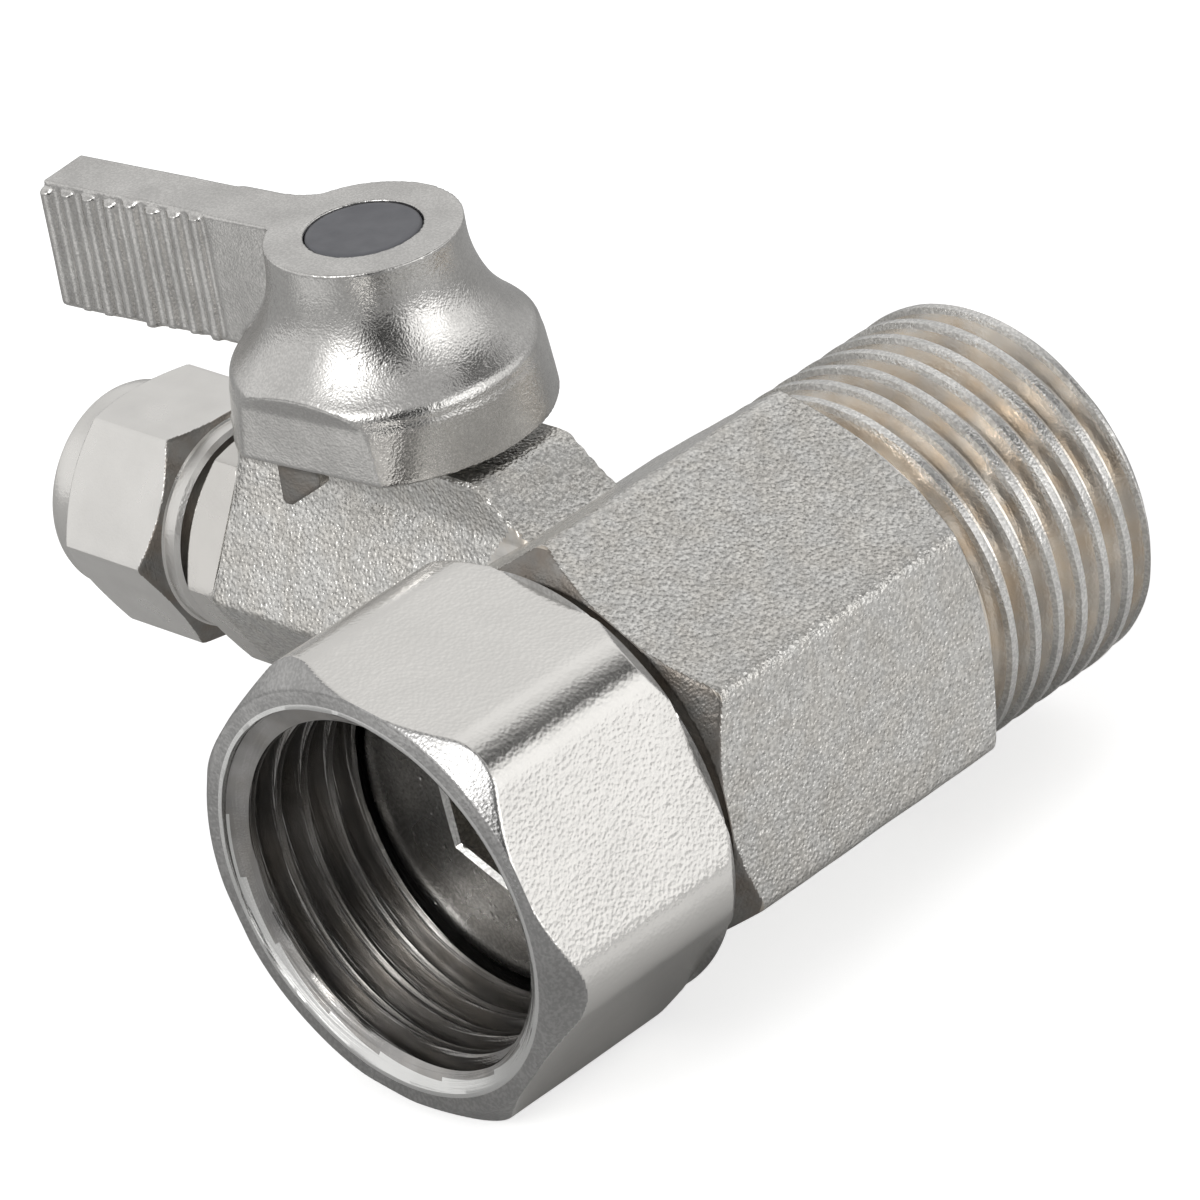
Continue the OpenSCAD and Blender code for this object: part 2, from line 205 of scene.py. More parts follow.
# Pale paper; in reflections it is dimmer, apart from the cards
def makeFloor(cards, setup):
    material = bpy.data.materials.new("floorPaper")
    material.use_nodes = True
    nodes, links = material.node_tree.nodes, material.node_tree.links
    nodes.clear()
    path = nodes.new("ShaderNodeLightPath")
    path.label = "seen directly"
    path.location = (-400, 300)
    paper = nodes.new("ShaderNodeBsdfDiffuse")
    paper.label = "pale paper"
    paper.location = (-400, 0)
    lit = nodes.new("ShaderNodeEmission")
    lit.label = "paper lit from below"
    lit.location = (-400, -150)
    bright = nodes.new("ShaderNodeAddShader")
    bright.label = "lit paper"
    bright.location = (-200, -60)
    dim = nodes.new("ShaderNodeBsdfDiffuse")
    dim.label = "paper in reflections"
    dim.location = (-400, -300)
    choice = nodes.new("ShaderNodeMixShader")
    choice.label = "paper"
    choice.location = (0, 0)
    output = nodes.new("ShaderNodeOutputMaterial")
    output.location = (220, 0)
    coords = nodes.new("ShaderNodeTexCoord")
    coords.label = "place on the paper"
    coords.location = (-1400, -300)
    total = None
    for row, (name, (centre, full, faded, brightness)) in enumerate(cards.items()):
        away = nodes.new("ShaderNodeVectorMath")
        away.label = f"distance from the {name}"
        away.location = (-1200, -300 - 260 * row)
        edge = nodes.new("ShaderNodeMapRange")
        edge.label = f"{name}: soft edge"
        edge.location = (-1000, -300 - 260 * row)
        added = nodes.new("ShaderNodeMath")
        added.label = f"with the {name}"
        added.location = (-800, -300 - 260 * row)
        away.operation = "DISTANCE"
        away.inputs[1].default_value = (centre[0], centre[1], cadBox[0].z)
        edge.interpolation_type = "SMOOTHSTEP"
        edge.inputs["From Min"].default_value = full
        edge.inputs["From Max"].default_value = faded
        edge.inputs["To Min"].default_value = brightness
        edge.inputs["To Max"].default_value = 0
        added.operation = "ADD"
        added.inputs[0].default_value = setup["inReflections"]
        links.new(coords.outputs["Object"], away.inputs[0])
        links.new(away.outputs["Value"], edge.inputs["Value"])
        if total is not None:
            links.new(total.outputs[0], added.inputs[0])
        links.new(edge.outputs[0], added.inputs[1])
        total = added
    paper.inputs["Color"].default_value = (setup["seen"], setup["seen"], setup["seen"], 1)
    lit.inputs["Strength"].default_value = setup["glow"]
    links.new(total.outputs[0], dim.inputs["Color"])
    links.new(path.outputs["Is Camera Ray"], choice.inputs[0])
    links.new(paper.outputs[0], bright.inputs[0])
    links.new(lit.outputs[0], bright.inputs[1])
    links.new(dim.outputs[0], choice.inputs[1])
    links.new(bright.outputs[0], choice.inputs[2])
    links.new(choice.outputs[0], output.inputs["Surface"])
    half = setup["half"]
    level = cadBox[0].z - setup["below"]
    mesh = bpy.data.meshes.new("floor")
    corners = [(-half, -half, level), (half, -half, level), (half, half, level), (-half, half, level)]
    mesh.from_pydata(corners, [], [(0, 1, 2, 3)])
    mesh.materials.append(material)
    floor = bpy.data.objects.new("floor", mesh)
    bpy.context.scene.collection.objects.link(floor)


makeCamera(cameraSetup)
makeLights(lightSetup)
makeWorld(studioPanels, studioGlow)
makeFloor(floorCards, paperSetup)
bpy.context.scene.view_settings.view_transform = "Standard"
report("camera, lights and floor made")

# Shape helpers
runFrame = Matrix.Rotation(math.radians(-90), 4, "X")  # local Z lies along the run, +Y
branchFrame = Matrix.Rotation(math.radians(-90), 4, "Y")  # local Z lies along the branch, -X
stemX = sum(v.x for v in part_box("handle_cap")) / 2 / mm
stemFrame = Matrix.Translation((stemX, 0, 0))


def softMin(a, b, blend):
    share = np.clip(0.5 + 0.5 * (b - a) / blend, 0, 1)
    return b * (1 - share) + a * share - blend * share * (1 - share)


def softMax(a, b, blend):
    return -softMin(-a, -b, blend)


def columnAngles(count):
    return np.arange(count) * math.tau / count


# Distance from the axis to the side of a hexagon with rounded ridges
def hexSide(angles, acrossFlats, ridgeAngle, fillet):
    sixth = math.radians(60)
    offset = np.abs((angles - math.radians(ridgeAngle) + sixth / 2) % sixth - sixth / 2)
    apothem = acrossFlats / 2
    centre = (apothem - fillet) / math.cos(sixth / 2)
    edge = sixth / 2 - math.atan((apothem - fillet) * math.tan(sixth / 2) / apothem)
    rounded = centre * np.cos(offset) + np.sqrt(np.maximum(fillet**2 - (centre * np.sin(offset)) ** 2, 0))
    flat = apothem / np.cos(sixth / 2 - offset)
    return np.where(offset < edge, rounded, flat)


def ring(angles, height, radius):
    radius = np.broadcast_to(np.asarray(radius, float), angles.shape)
    return np.stack([radius * np.cos(angles), radius * np.sin(angles), np.full(angles.shape, height)], -1)


# Rings that follow a profile of (height, radius) corners, with extra rings so that no step is long
def profileRings(angles, corners, step=0.5):
    rings = [ring(angles, *corners[0])]
    for (h0, r0), (h1, r1) in zip(corners, corners[1:]):
        count = max(1, math.ceil(math.hypot(h1 - h0, np.max(np.abs(np.asarray(r1) - r0))) / step))
        for i in range(1, count + 1):
            share = i / count
            radius = np.asarray(r0) * (1 - share) + np.asarray(r1) * share
            rings.append(ring(angles, h0 + (h1 - h0) * share, radius))
    return rings


def meshFromRings(name, rings, loop=True):
    grid = np.asarray(rings, float)
    rows, columns = grid.shape[:2]
    index = np.arange(rows * columns).reshape(rows, columns)
    across = np.roll(index, -1, axis=1)
    if loop:
        nextIndex, nextAcross = np.roll(index, -1, axis=0), np.roll(across, -1, axis=0)
    else:
        index, across, nextIndex, nextAcross = index[:-1], across[:-1], index[1:], across[1:]
    faces = np.stack([index, across, nextAcross, nextIndex], -1).reshape(-1, 4)
    mesh = bpy.data.meshes.new(name)
    mesh.from_pydata(grid.reshape(-1, 3), [], faces.tolist())
    return mesh


def objectFromMesh(name, mesh):
    piece = bpy.data.objects.new(name, mesh)
    bpy.context.scene.collection.objects.link(piece)
    return piece


def weld(mesh, distance=0.002):
    work = bmesh.new()
    work.from_mesh(mesh)
    bmesh.ops.remove_doubles(work, verts=work.verts, dist=distance)
    bmesh.ops.dissolve_degenerate(work, edges=work.edges, dist=distance / 4)
    work.to_mesh(mesh)
    work.free()


def joinMeshes(name, meshes):
    work = bmesh.new()
    for mesh in meshes:
        work.from_mesh(mesh)
    joined = bpy.data.meshes.new(name)
    work.to_mesh(joined)
    work.free()
    return joined


# Copies the evaluated object to a plain mesh and drops its modifiers
def settle(piece):
    graph = bpy.context.evaluated_depsgraph_get()
    mesh = bpy.data.meshes.new_from_object(piece.evaluated_get(graph))
    piece.modifiers.clear()
    piece.data = mesh
    return piece


def combine(piece, toolMesh, operation):
    tool = objectFromMesh("tool", toolMesh)
    step = piece.modifiers.new("combine", "BOOLEAN")
    step.operation = operation
    step.solver = "MANIFOLD"
    step.object = tool
    settle(piece)
    bpy.data.objects.remove(tool)


def lathe(name, angles, corners, step=2.0, loop=True):
    mesh = meshFromRings(name, profileRings(angles, corners, step), loop)
    weld(mesh)
    return mesh


# Slow unevenness of a forged or cast surface
def unevenness(mesh, size, depth, seed):
    count = len(mesh.vertices)
    places = np.empty(count * 3)
    normals = np.empty(count * 3)
    mesh.vertices.foreach_get("co", places)
    mesh.vertex_normals.foreach_get("vector", normals)
    places, normals = places.reshape(-1, 3), normals.reshape(-1, 3)
    shift = np.array([noise.noise(Vector(p) / size + Vector((seed, 0, 0))) for p in places])
    places += normals * (shift * depth)[:, None]
    mesh.vertices.foreach_set("co", places.ravel())
    mesh.update()


# Lays a finished piece in the frame, in metres, and rides it on its body
def place(piece, turn, body, nodes, sharpAngle=35):
    mesh = piece.data
    mesh.transform(Matrix.Scale(mm, 4) @ turn)
    mesh.polygons.foreach_set("use_smooth", [True] * len(mesh.polygons))
    mesh.set_sharp_from_angle(angle=math.radians(sharpAngle))
    mesh.update()
    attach(piece, body)
    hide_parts(*nodes)
    report(f"{piece.name}: {len(mesh.polygons)} faces")


# Thread, as a Geometry Nodes tree: a grid is rolled round the axis and sheared by one pitch a turn,
# so its rows follow the helix.
def threadTree(material):
    tree = bpy.data.node_groups.new("pipe thread", "GeometryNodeTree")
    face = tree.interface
    for name, kind, value in (
        ("Crest radius", "NodeSocketFloat", 10.48),
        ("Root radius", "NodeSocketFloat", 9.32),
        ("Pitch", "NodeSocketFloat", 1.814),
        ("Start", "NodeSocketFloat", 0.0),
        ("End", "NodeSocketFloat", 10.0),
        ("Turns", "NodeSocketInt", 9),
        ("Fade in", "NodeSocketFloat", 1.0),
        ("Fade out", "NodeSocketFloat", 1.0),
        ("End radius", "NodeSocketFloat", 9.9),
        ("Columns", "NodeSocketInt", 288),
        ("Rows", "NodeSocketInt", 120),
        ("Crest from", "NodeSocketFloat", 0.1),
        ("Crest to", "NodeSocketFloat", 0.8),
    ):
        face.new_socket(name, in_out="INPUT", socket_type=kind).default_value = value
    face.new_socket("Geometry", in_out="OUTPUT", socket_type="NodeSocketGeometry")
    nodes, links = tree.nodes, tree.links

    sizes = nodes.new("NodeGroupInput")
    sizes.label = "sizes"
    sizes.location = (-1800, 0)
    result = nodes.new("NodeGroupOutput")
    result.location = (2000, 0)

    # grid of the unrolled thread
    columnsPlus = nodes.new("ShaderNodeMath")
    columnsPlus.label = "one column more, to close the turn"
    grid = nodes.new("GeometryNodeMeshGrid")
    grid.label = "unrolled thread"
    position = nodes.new("GeometryNodeInputPosition")
    position.label = "place on the grid"
    spot = nodes.new("ShaderNodeSeparateXYZ")
    spot.label = "grid place"
    turnShare = nodes.new("ShaderNodeMath")
    turnShare.label = "share of a turn"
    rowShare = nodes.new("ShaderNodeMath")
    rowShare.label = "share of the length"

    # height along the axis
    span = nodes.new("ShaderNodeMath")
    span.label = "length of the whole turns"
    firstRow = nodes.new("ShaderNodeMath")
    firstRow.label = "one pitch below the start"
    rowHeight = nodes.new("ShaderNodeMath")
    rowHeight.label = "row height"
    lean = nodes.new("ShaderNodeMath")
    lean.label = "rise with the turn"
    height = nodes.new("ShaderNodeClamp")
    height.label = "kept between start and end"

    # profile across one pitch
    fromStart = nodes.new("ShaderNodeMath")
    fromStart.label = "height above the start"
    inPitches = nodes.new("ShaderNodeMath")
    inPitches.label = "height in pitches"
    unwound = nodes.new("ShaderNodeMath")
    unwound.label = "less the turn"
    phase = nodes.new("ShaderNodeMath")
    phase.label = "place in the pitch"
    centred = nodes.new("ShaderNodeMath")
    centred.label = "from the root"
    flank = nodes.new("ShaderNodeMath")
    flank.label = "distance from the root"
    profile = nodes.new("ShaderNodeMapRange")
    profile.label = "rounded crest and root"

    # run-in and run-out
    fadeIn = nodes.new("ShaderNodeMapRange")
    fadeIn.label = "thread runs in"
    fromEnd = nodes.new("ShaderNodeMath")
    fromEnd.label = "distance to the end"
    fadeOut = nodes.new("ShaderNodeMapRange")
    fadeOut.label = "thread runs out"
    bothFades = nodes.new("ShaderNodeMath")
    bothFades.label = "run-in and run-out"
    depthShare = nodes.new("ShaderNodeMath")
    depthShare.label = "share of the depth"
    depth = nodes.new("ShaderNodeMath")
    depth.label = "thread depth"
    cut = nodes.new("ShaderNodeMath")
    cut.label = "height over the root"
    radius = nodes.new("ShaderNodeMath")
    radius.label = "radius"
    cone = nodes.new("ShaderNodeMath")
    cone.label = "end chamfer"
    trimmed = nodes.new("ShaderNodeMath")
    trimmed.label = "radius under the chamfer"

    # rolled round the axis
    angle = nodes.new("ShaderNodeMath")
    angle.label = "angle"
    cosine = nodes.new("ShaderNodeMath")
    cosine.label = "cosine"
    sine = nodes.new("ShaderNodeMath")
    sine.label = "sine"
    sideways = nodes.new("ShaderNodeMath")
    sideways.label = "x"
    upwards = nodes.new("ShaderNodeMath")
    upwards.label = "y"
    rolledPlace = nodes.new("ShaderNodeCombineXYZ")
    rolledPlace.label = "rolled place"
    rolled = nodes.new("GeometryNodeSetPosition")
    rolled.label = "roll the grid"
    merged = nodes.new("GeometryNodeMergeByDistance")
    merged.label = "close the turn"
    realized = nodes.new("GeometryNodeRealizeInstances")
    realized.label = "plain mesh"
    painted = nodes.new("GeometryNodeSetMaterial")
    painted.label = "thread finish"

    groups = (
        ("grid", (columnsPlus, grid, position, spot, turnShare, rowShare)),
        ("height along the axis", (span, firstRow, rowHeight, lean, height)),
        ("profile across one pitch", (fromStart, inPitches, unwound, phase, centred, flank, profile)),
        ("run-in, run-out and chamfer", (
            fadeIn, fromEnd, fadeOut, bothFades, depthShare, depth, cut, radius, cone, trimmed,
        )),
        ("rolled round the axis", (
            angle, cosine, sine, sideways, upwards, rolledPlace, rolled, merged, realized, painted,
        )),
    )
    for row, (title, members) in enumerate(groups):
        box = nodes.new("NodeFrame")
        box.label = title
        for column, node in enumerate(members):
            node.parent = box
            node.location = (-1500 + 190 * column, 700 - 320 * row)

    for node, operation in (
        (columnsPlus, "ADD"), (turnShare, "ADD"), (rowShare, "ADD"), (span, "MULTIPLY"),
        (firstRow, "SUBTRACT"), (rowHeight, "MULTIPLY_ADD"), (lean, "MULTIPLY_ADD"), (fromStart, "SUBTRACT"),
        (inPitches, "DIVIDE"), (unwound, "SUBTRACT"), (phase, "FRACT"), (centred, "MULTIPLY_ADD"),
        (flank, "ABSOLUTE"), (fromEnd, "SUBTRACT"), (bothFades, "MULTIPLY"), (depthShare, "MULTIPLY"),
        (depth, "SUBTRACT"), (cut, "MULTIPLY"), (radius, "ADD"), (cone, "ADD"), (trimmed, "MINIMUM"),
        (angle, "MULTIPLY"), (cosine, "COSINE"), (sine, "SINE"), (sideways, "MULTIPLY"), (upwards, "MULTIPLY"),
    ):
        node.operation = operation
    columnsPlus.inputs[1].default_value = 1
    grid.inputs["Size X"].default_value = 1
    grid.inputs["Size Y"].default_value = 1
    turnShare.inputs[1].default_value = 0.5
    rowShare.inputs[1].default_value = 0.5
    centred.inputs[1].default_value = 2
    centred.inputs[2].default_value = -1
    profile.interpolation_type = "SMOOTHSTEP"
    fadeIn.interpolation_type = "SMOOTHSTEP"
    fadeOut.interpolation_type = "SMOOTHSTEP"
    angle.inputs[1].default_value = math.tau
    merged.inputs["Distance"].default_value = 0.002
    painted.inputs["Material"].default_value = material

    links.new(sizes.outputs["Columns"], columnsPlus.inputs[0])
    links.new(columnsPlus.outputs[0], grid.inputs["Vertices X"])
    links.new(sizes.outputs["Rows"], grid.inputs["Vertices Y"])
    links.new(position.outputs[0], spot.inputs[0])
    links.new(spot.outputs["X"], turnShare.inputs[0])
    links.new(spot.outputs["Y"], rowShare.inputs[0])
    links.new(sizes.outputs["Turns"], span.inputs[0])
    links.new(sizes.outputs["Pitch"], span.inputs[1])
    links.new(sizes.outputs["Start"], firstRow.inputs[0])
    links.new(sizes.outputs["Pitch"], firstRow.inputs[1])
    links.new(rowShare.outputs[0], rowHeight.inputs[0])
    links.new(span.outputs[0], rowHeight.inputs[1])
    links.new(firstRow.outputs[0], rowHeight.inputs[2])
    links.new(turnShare.outputs[0], lean.inputs[0])
    links.new(sizes.outputs["Pitch"], lean.inputs[1])
    links.new(rowHeight.outputs[0], lean.inputs[2])
    links.new(lean.outputs[0], height.inputs["Value"])
    links.new(sizes.outputs["Start"], height.inputs["Min"])
    links.new(sizes.outputs["End"], height.inputs["Max"])
    links.new(height.outputs[0], fromStart.inputs[0])
    links.new(sizes.outputs["Start"], fromStart.inputs[1])
    links.new(fromStart.outputs[0], inPitches.inputs[0])
    links.new(sizes.outputs["Pitch"], inPitches.inputs[1])
    links.new(inPitches.outputs[0], unwound.inputs[0])
    links.new(turnShare.outputs[0], unwound.inputs[1])
    links.new(unwound.outputs[0], phase.inputs[0])
    links.new(phase.outputs[0], centred.inputs[0])
    links.new(centred.outputs[0], flank.inputs[0])
    links.new(flank.outputs[0], profile.inputs["Value"])
    links.new(sizes.outputs["Crest from"], profile.inputs["From Min"])
    links.new(sizes.outputs["Crest to"], profile.inputs["From Max"])
    links.new(fromStart.outputs[0], fadeIn.inputs["Value"])
    links.new(sizes.outputs["Fade in"], fadeIn.inputs["From Max"])
    links.new(sizes.outputs["End"], fromEnd.inputs[0])
    links.new(height.outputs[0], fromEnd.inputs[1])
    links.new(fromEnd.outputs[0], fadeOut.inputs["Value"])
    links.new(sizes.outputs["Fade out"], fadeOut.inputs["From Max"])
    links.new(fadeIn.outputs[0], bothFades.inputs[0])
    links.new(fadeOut.outputs[0], bothFades.inputs[1])
    links.new(profile.outputs[0], depthShare.inputs[0])
    links.new(bothFades.outputs[0], depthShare.inputs[1])
    links.new(sizes.outputs["Crest radius"], depth.inputs[0])
    links.new(sizes.outputs["Root radius"], depth.inputs[1])
    links.new(depthShare.outputs[0], cut.inputs[0])
    links.new(depth.outputs[0], cut.inputs[1])
    links.new(cut.outputs[0], radius.inputs[0])
    links.new(sizes.outputs["Root radius"], radius.inputs[1])
    links.new(fromEnd.outputs[0], cone.inputs[0])
    links.new(sizes.outputs["End radius"], cone.inputs[1])
    links.new(radius.outputs[0], trimmed.inputs[0])
    links.new(cone.outputs[0], trimmed.inputs[1])
    links.new(turnShare.outputs[0], angle.inputs[0])
    links.new(angle.outputs[0], cosine.inputs[0])
    links.new(angle.outputs[0], sine.inputs[0])
    links.new(cosine.outputs[0], sideways.inputs[0])
    links.new(trimmed.outputs[0], sideways.inputs[1])
    links.new(sine.outputs[0], upwards.inputs[0])
    links.new(trimmed.outputs[0], upwards.inputs[1])
    links.new(sideways.outputs[0], rolledPlace.inputs["X"])
    links.new(upwards.outputs[0], rolledPlace.inputs["Y"])
    links.new(height.outputs[0], rolledPlace.inputs["Z"])
    links.new(grid.outputs["Mesh"], rolled.inputs["Geometry"])
    links.new(rolledPlace.outputs[0], rolled.inputs["Position"])
    links.new(rolled.outputs[0], merged.inputs["Geometry"])
    links.new(merged.outputs[0], realized.inputs[0])
    links.new(realized.outputs[0], painted.inputs["Geometry"])
    links.new(painted.outputs[0], result.inputs[0])
    return tree


# Runs a node tree on an empty object and returns the mesh it makes
def meshFromTree(tree, settings):
    holder = objectFromMesh("holder", bpy.data.meshes.new("holder"))
    step = holder.modifiers.new("make", "NODES")
    step.node_group = tree
    for item in tree.interface.items_tree:
        if item.in_out == "INPUT" and item.name in settings:
            step[item.identifier] = settings[item.name]
    settle(holder)
    mesh = holder.data
    bpy.data.objects.remove(holder)
    return mesh


# The ring of open edges of a thread at one height, in the order of the columns
def openRing(mesh, height):
    places = np.empty(len(mesh.vertices) * 3)
    mesh.vertices.foreach_get("co", places)
    places = places.reshape(-1, 3)
    places = places[np.abs(places[:, 2] - height) < 1e-4]
    angles = np.arctan2(places[:, 1], places[:, 0]) % math.tau
    angles = np.where(angles > math.tau - 1e-4, 0, angles)
    return places[np.argsort(angles)]




# Plated or machined metal. Grain and waves are bumps in millimetres; mottle darkens patches.
def metal(
    name, tint, rough, grain=6.0, grainDepth=0.0, wave=1.5, waveDepth=0.0, mottle=0.1,
    pitDepth=0.0, specks=0.0, stain=(0.5, 0.4, 0.3), stainAmount=0.0, turned=0.0, axis="Y", roughSpread=0.08,
):
    material = bpy.data.materials.new(name)
    material.use_nodes = True
    nodes, links = material.node_tree.nodes, material.node_tree.links
    nodes.clear()

    coords = nodes.new("ShaderNodeTexCoord")
    coords.label = "object place"
    inMillimetres = nodes.new("ShaderNodeMapping")
    inMillimetres.label = "millimetres"

    blast = nodes.new("ShaderNodeTexVoronoi")
    blast.label = "blasted grains"
    fine = nodes.new("ShaderNodeTexNoise")
    fine.label = "fine grain"
    grainHeight = nodes.new("ShaderNodeMath")
    grainHeight.label = "grains with fine grain"
    grainBump = nodes.new("ShaderNodeBump")
    grainBump.label = "grain relief"
    swell = nodes.new("ShaderNodeTexNoise")
    swell.label = "orange peel"
    swellBump = nodes.new("ShaderNodeBump")
    swellBump.label = "orange peel relief"
    pits = nodes.new("ShaderNodeTexVoronoi")
    pits.label = "scattered pits"
    pitShape = nodes.new("ShaderNodeMapRange")
    pitShape.label = "only the pit centres"
    pitBump = nodes.new("ShaderNodeBump")
    pitBump.label = "pit relief"

    squeeze = nodes.new("ShaderNodeMapping")
    squeeze.label = "squeezed along the axis"
    lines = nodes.new("ShaderNodeTexNoise")
    lines.label = "turning marks"
    lineBump = nodes.new("ShaderNodeBump")
    lineBump.label = "turning relief"

    cloud = nodes.new("ShaderNodeTexNoise")
    cloud.label = "uneven plating"
    cloudShape = nodes.new("ShaderNodeMapRange")
    cloudShape.label = "patches"
    shade = nodes.new("ShaderNodeMix")
    shade.label = "plating and dull patches"
    stainCloud = nodes.new("ShaderNodeTexNoise")
    stainCloud.label = "where the stain lies"
    stainShape = nodes.new("ShaderNodeMapRange")
    stainShape.label = "stain edges"
    stained = nodes.new("ShaderNodeMix")
    stained.label = "warm stain"
    speckTexture = nodes.new("ShaderNodeTexNoise")
    speckTexture.label = "dark and bright specks"
    speckShape = nodes.new("ShaderNodeMapRange")
    speckShape.label = "speck contrast"
    speckled = nodes.new("ShaderNodeMix")
    speckled.label = "speckled plating"
    roughShape = nodes.new("ShaderNodeMapRange")
    roughShape.label = "duller where patchy"
    surface = nodes.new("ShaderNodeBsdfPrincipled")
    surface.label = "metal"
    output = nodes.new("ShaderNodeOutputMaterial")

    groups = (
        ("place", (coords, inMillimetres)),
        ("relief", (blast, fine, grainHeight, grainBump, swell, swellBump, pits, pitShape, pitBump)),
        ("turning marks", (squeeze, lines, lineBump)),
        ("colour", (
            cloud, cloudShape, shade, stainCloud, stainShape, stained, speckTexture, speckShape, speckled,
        )),
        ("finish", (roughShape, surface, output)),
    )
    for row, (title, members) in enumerate(groups):
        box = nodes.new("NodeFrame")
        box.label = title
        for column, node in enumerate(members):
            node.parent = box
            node.location = (-1600 + 210 * column, 900 - 380 * row)

    inMillimetres.inputs["Scale"].default_value = (1 / mm, 1 / mm, 1 / mm)
    blast.feature = "SMOOTH_F1"
    blast.inputs["Scale"].default_value = grain
    blast.inputs["Smoothness"].default_value = 0.6
    fine.inputs["Scale"].default_value = grain * 1.6
    fine.inputs["Detail"].default_value = 2
    grainHeight.operation = "MULTIPLY_ADD"
    grainHeight.inputs[1].default_value = 0.6
    grainBump.inputs["Distance"].default_value = grainDepth * mm
    swell.inputs["Scale"].default_value = wave
    swell.inputs["Detail"].default_value = 1
    swellBump.inputs["Distance"].default_value = waveDepth * mm
    pits.inputs["Scale"].default_value = 1.3
    pitShape.inputs["From Min"].default_value = 0.05
    pitShape.inputs["From Max"].default_value = 0.22
    pitBump.inputs["Distance"].default_value = pitDepth * mm
    squeeze.inputs["Scale"].default_value = {
        "X": (9, 0.06, 0.06), "Y": (0.06, 9, 0.06), "Z": (0.06, 0.06, 9),
    }[axis]
    lines.inputs["Scale"].default_value = 1
    lines.inputs["Detail"].default_value = 3
    lineBump.inputs["Distance"].default_value = turned * mm
    cloud.inputs["Scale"].default_value = 0.35
    cloud.inputs["Detail"].default_value = 5
    cloudShape.inputs["From Min"].default_value = 0.35
    cloudShape.inputs["From Max"].default_value = 0.72
    shade.data_type = "RGBA"
    shade.inputs["A"].default_value = (*tint, 1)
    shade.inputs["B"].default_value = (*[c * (1 - mottle) for c in tint], 1)
    stainCloud.inputs["Scale"].default_value = 0.6
    stainCloud.inputs["Detail"].default_value = 3
    stainShape.inputs["From Min"].default_value = 0.4
    stainShape.inputs["From Max"].default_value = 0.62
    stainShape.inputs["To Max"].default_value = stainAmount
    stained.data_type = "RGBA"
    stained.inputs["B"].default_value = (*stain, 1)
    speckTexture.inputs["Scale"].default_value = grain * 0.9
    speckTexture.inputs["Detail"].default_value = 1
    speckShape.inputs["From Min"].default_value = 0.42
    speckShape.inputs["From Max"].default_value = 0.62
    speckShape.inputs["To Min"].default_value = specks
    speckShape.inputs["To Max"].default_value = 0
    speckled.data_type = "RGBA"
    speckled.blend_type = "MULTIPLY"
    speckled.inputs["B"].default_value = (0.25, 0.25, 0.25, 1)
    roughShape.inputs["From Min"].default_value = 0.3
    roughShape.inputs["From Max"].default_value = 0.7
    roughShape.inputs["To Min"].default_value = rough
    roughShape.inputs["To Max"].default_value = rough + roughSpread
    surface.inputs["Metallic"].default_value = 1

    links.new(coords.outputs["Object"], inMillimetres.inputs["Vector"])
    for texture in (blast, fine, swell, pits, squeeze, cloud, stainCloud, speckTexture):
        links.new(inMillimetres.outputs[0], texture.inputs["Vector"])
    links.new(fine.outputs[0], grainHeight.inputs[0])
    links.new(blast.outputs["Distance"], grainHeight.inputs[2])
    links.new(grainHeight.outputs[0], grainBump.inputs["Height"])
    links.new(swell.outputs[0], swellBump.inputs["Height"])
    links.new(swellBump.outputs[0], grainBump.inputs["Normal"])
    links.new(pits.outputs["Distance"], pitShape.inputs["Value"])
    links.new(pitShape.outputs[0], pitBump.inputs["Height"])
    links.new(grainBump.outputs[0], pitBump.inputs["Normal"])
    links.new(squeeze.outputs[0], lines.inputs["Vector"])
    links.new(lines.outputs[0], lineBump.inputs["Height"])
    links.new(pitBump.outputs[0], lineBump.inputs["Normal"])
    links.new(cloud.outputs[0], cloudShape.inputs["Value"])
    links.new(cloudShape.outputs[0], shade.inputs["Factor"])
    links.new(stainCloud.outputs[0], stainShape.inputs["Value"])
    links.new(stainShape.outputs[0], stained.inputs["Factor"])
    links.new(shade.outputs["Result"], stained.inputs["A"])
    links.new(speckTexture.outputs[0], speckShape.inputs["Value"])
    links.new(speckShape.outputs[0], speckled.inputs["Factor"])
    links.new(stained.outputs["Result"], speckled.inputs["A"])
    links.new(speckled.outputs["Result"], surface.inputs["Base Color"])
    links.new(cloud.outputs[0], roughShape.inputs["Value"])
    links.new(roughShape.outputs[0], surface.inputs["Roughness"])
    links.new(lineBump.outputs[0], surface.inputs["Normal"])
    links.new(surface.outputs[0], output.inputs["Surface"])
    return material


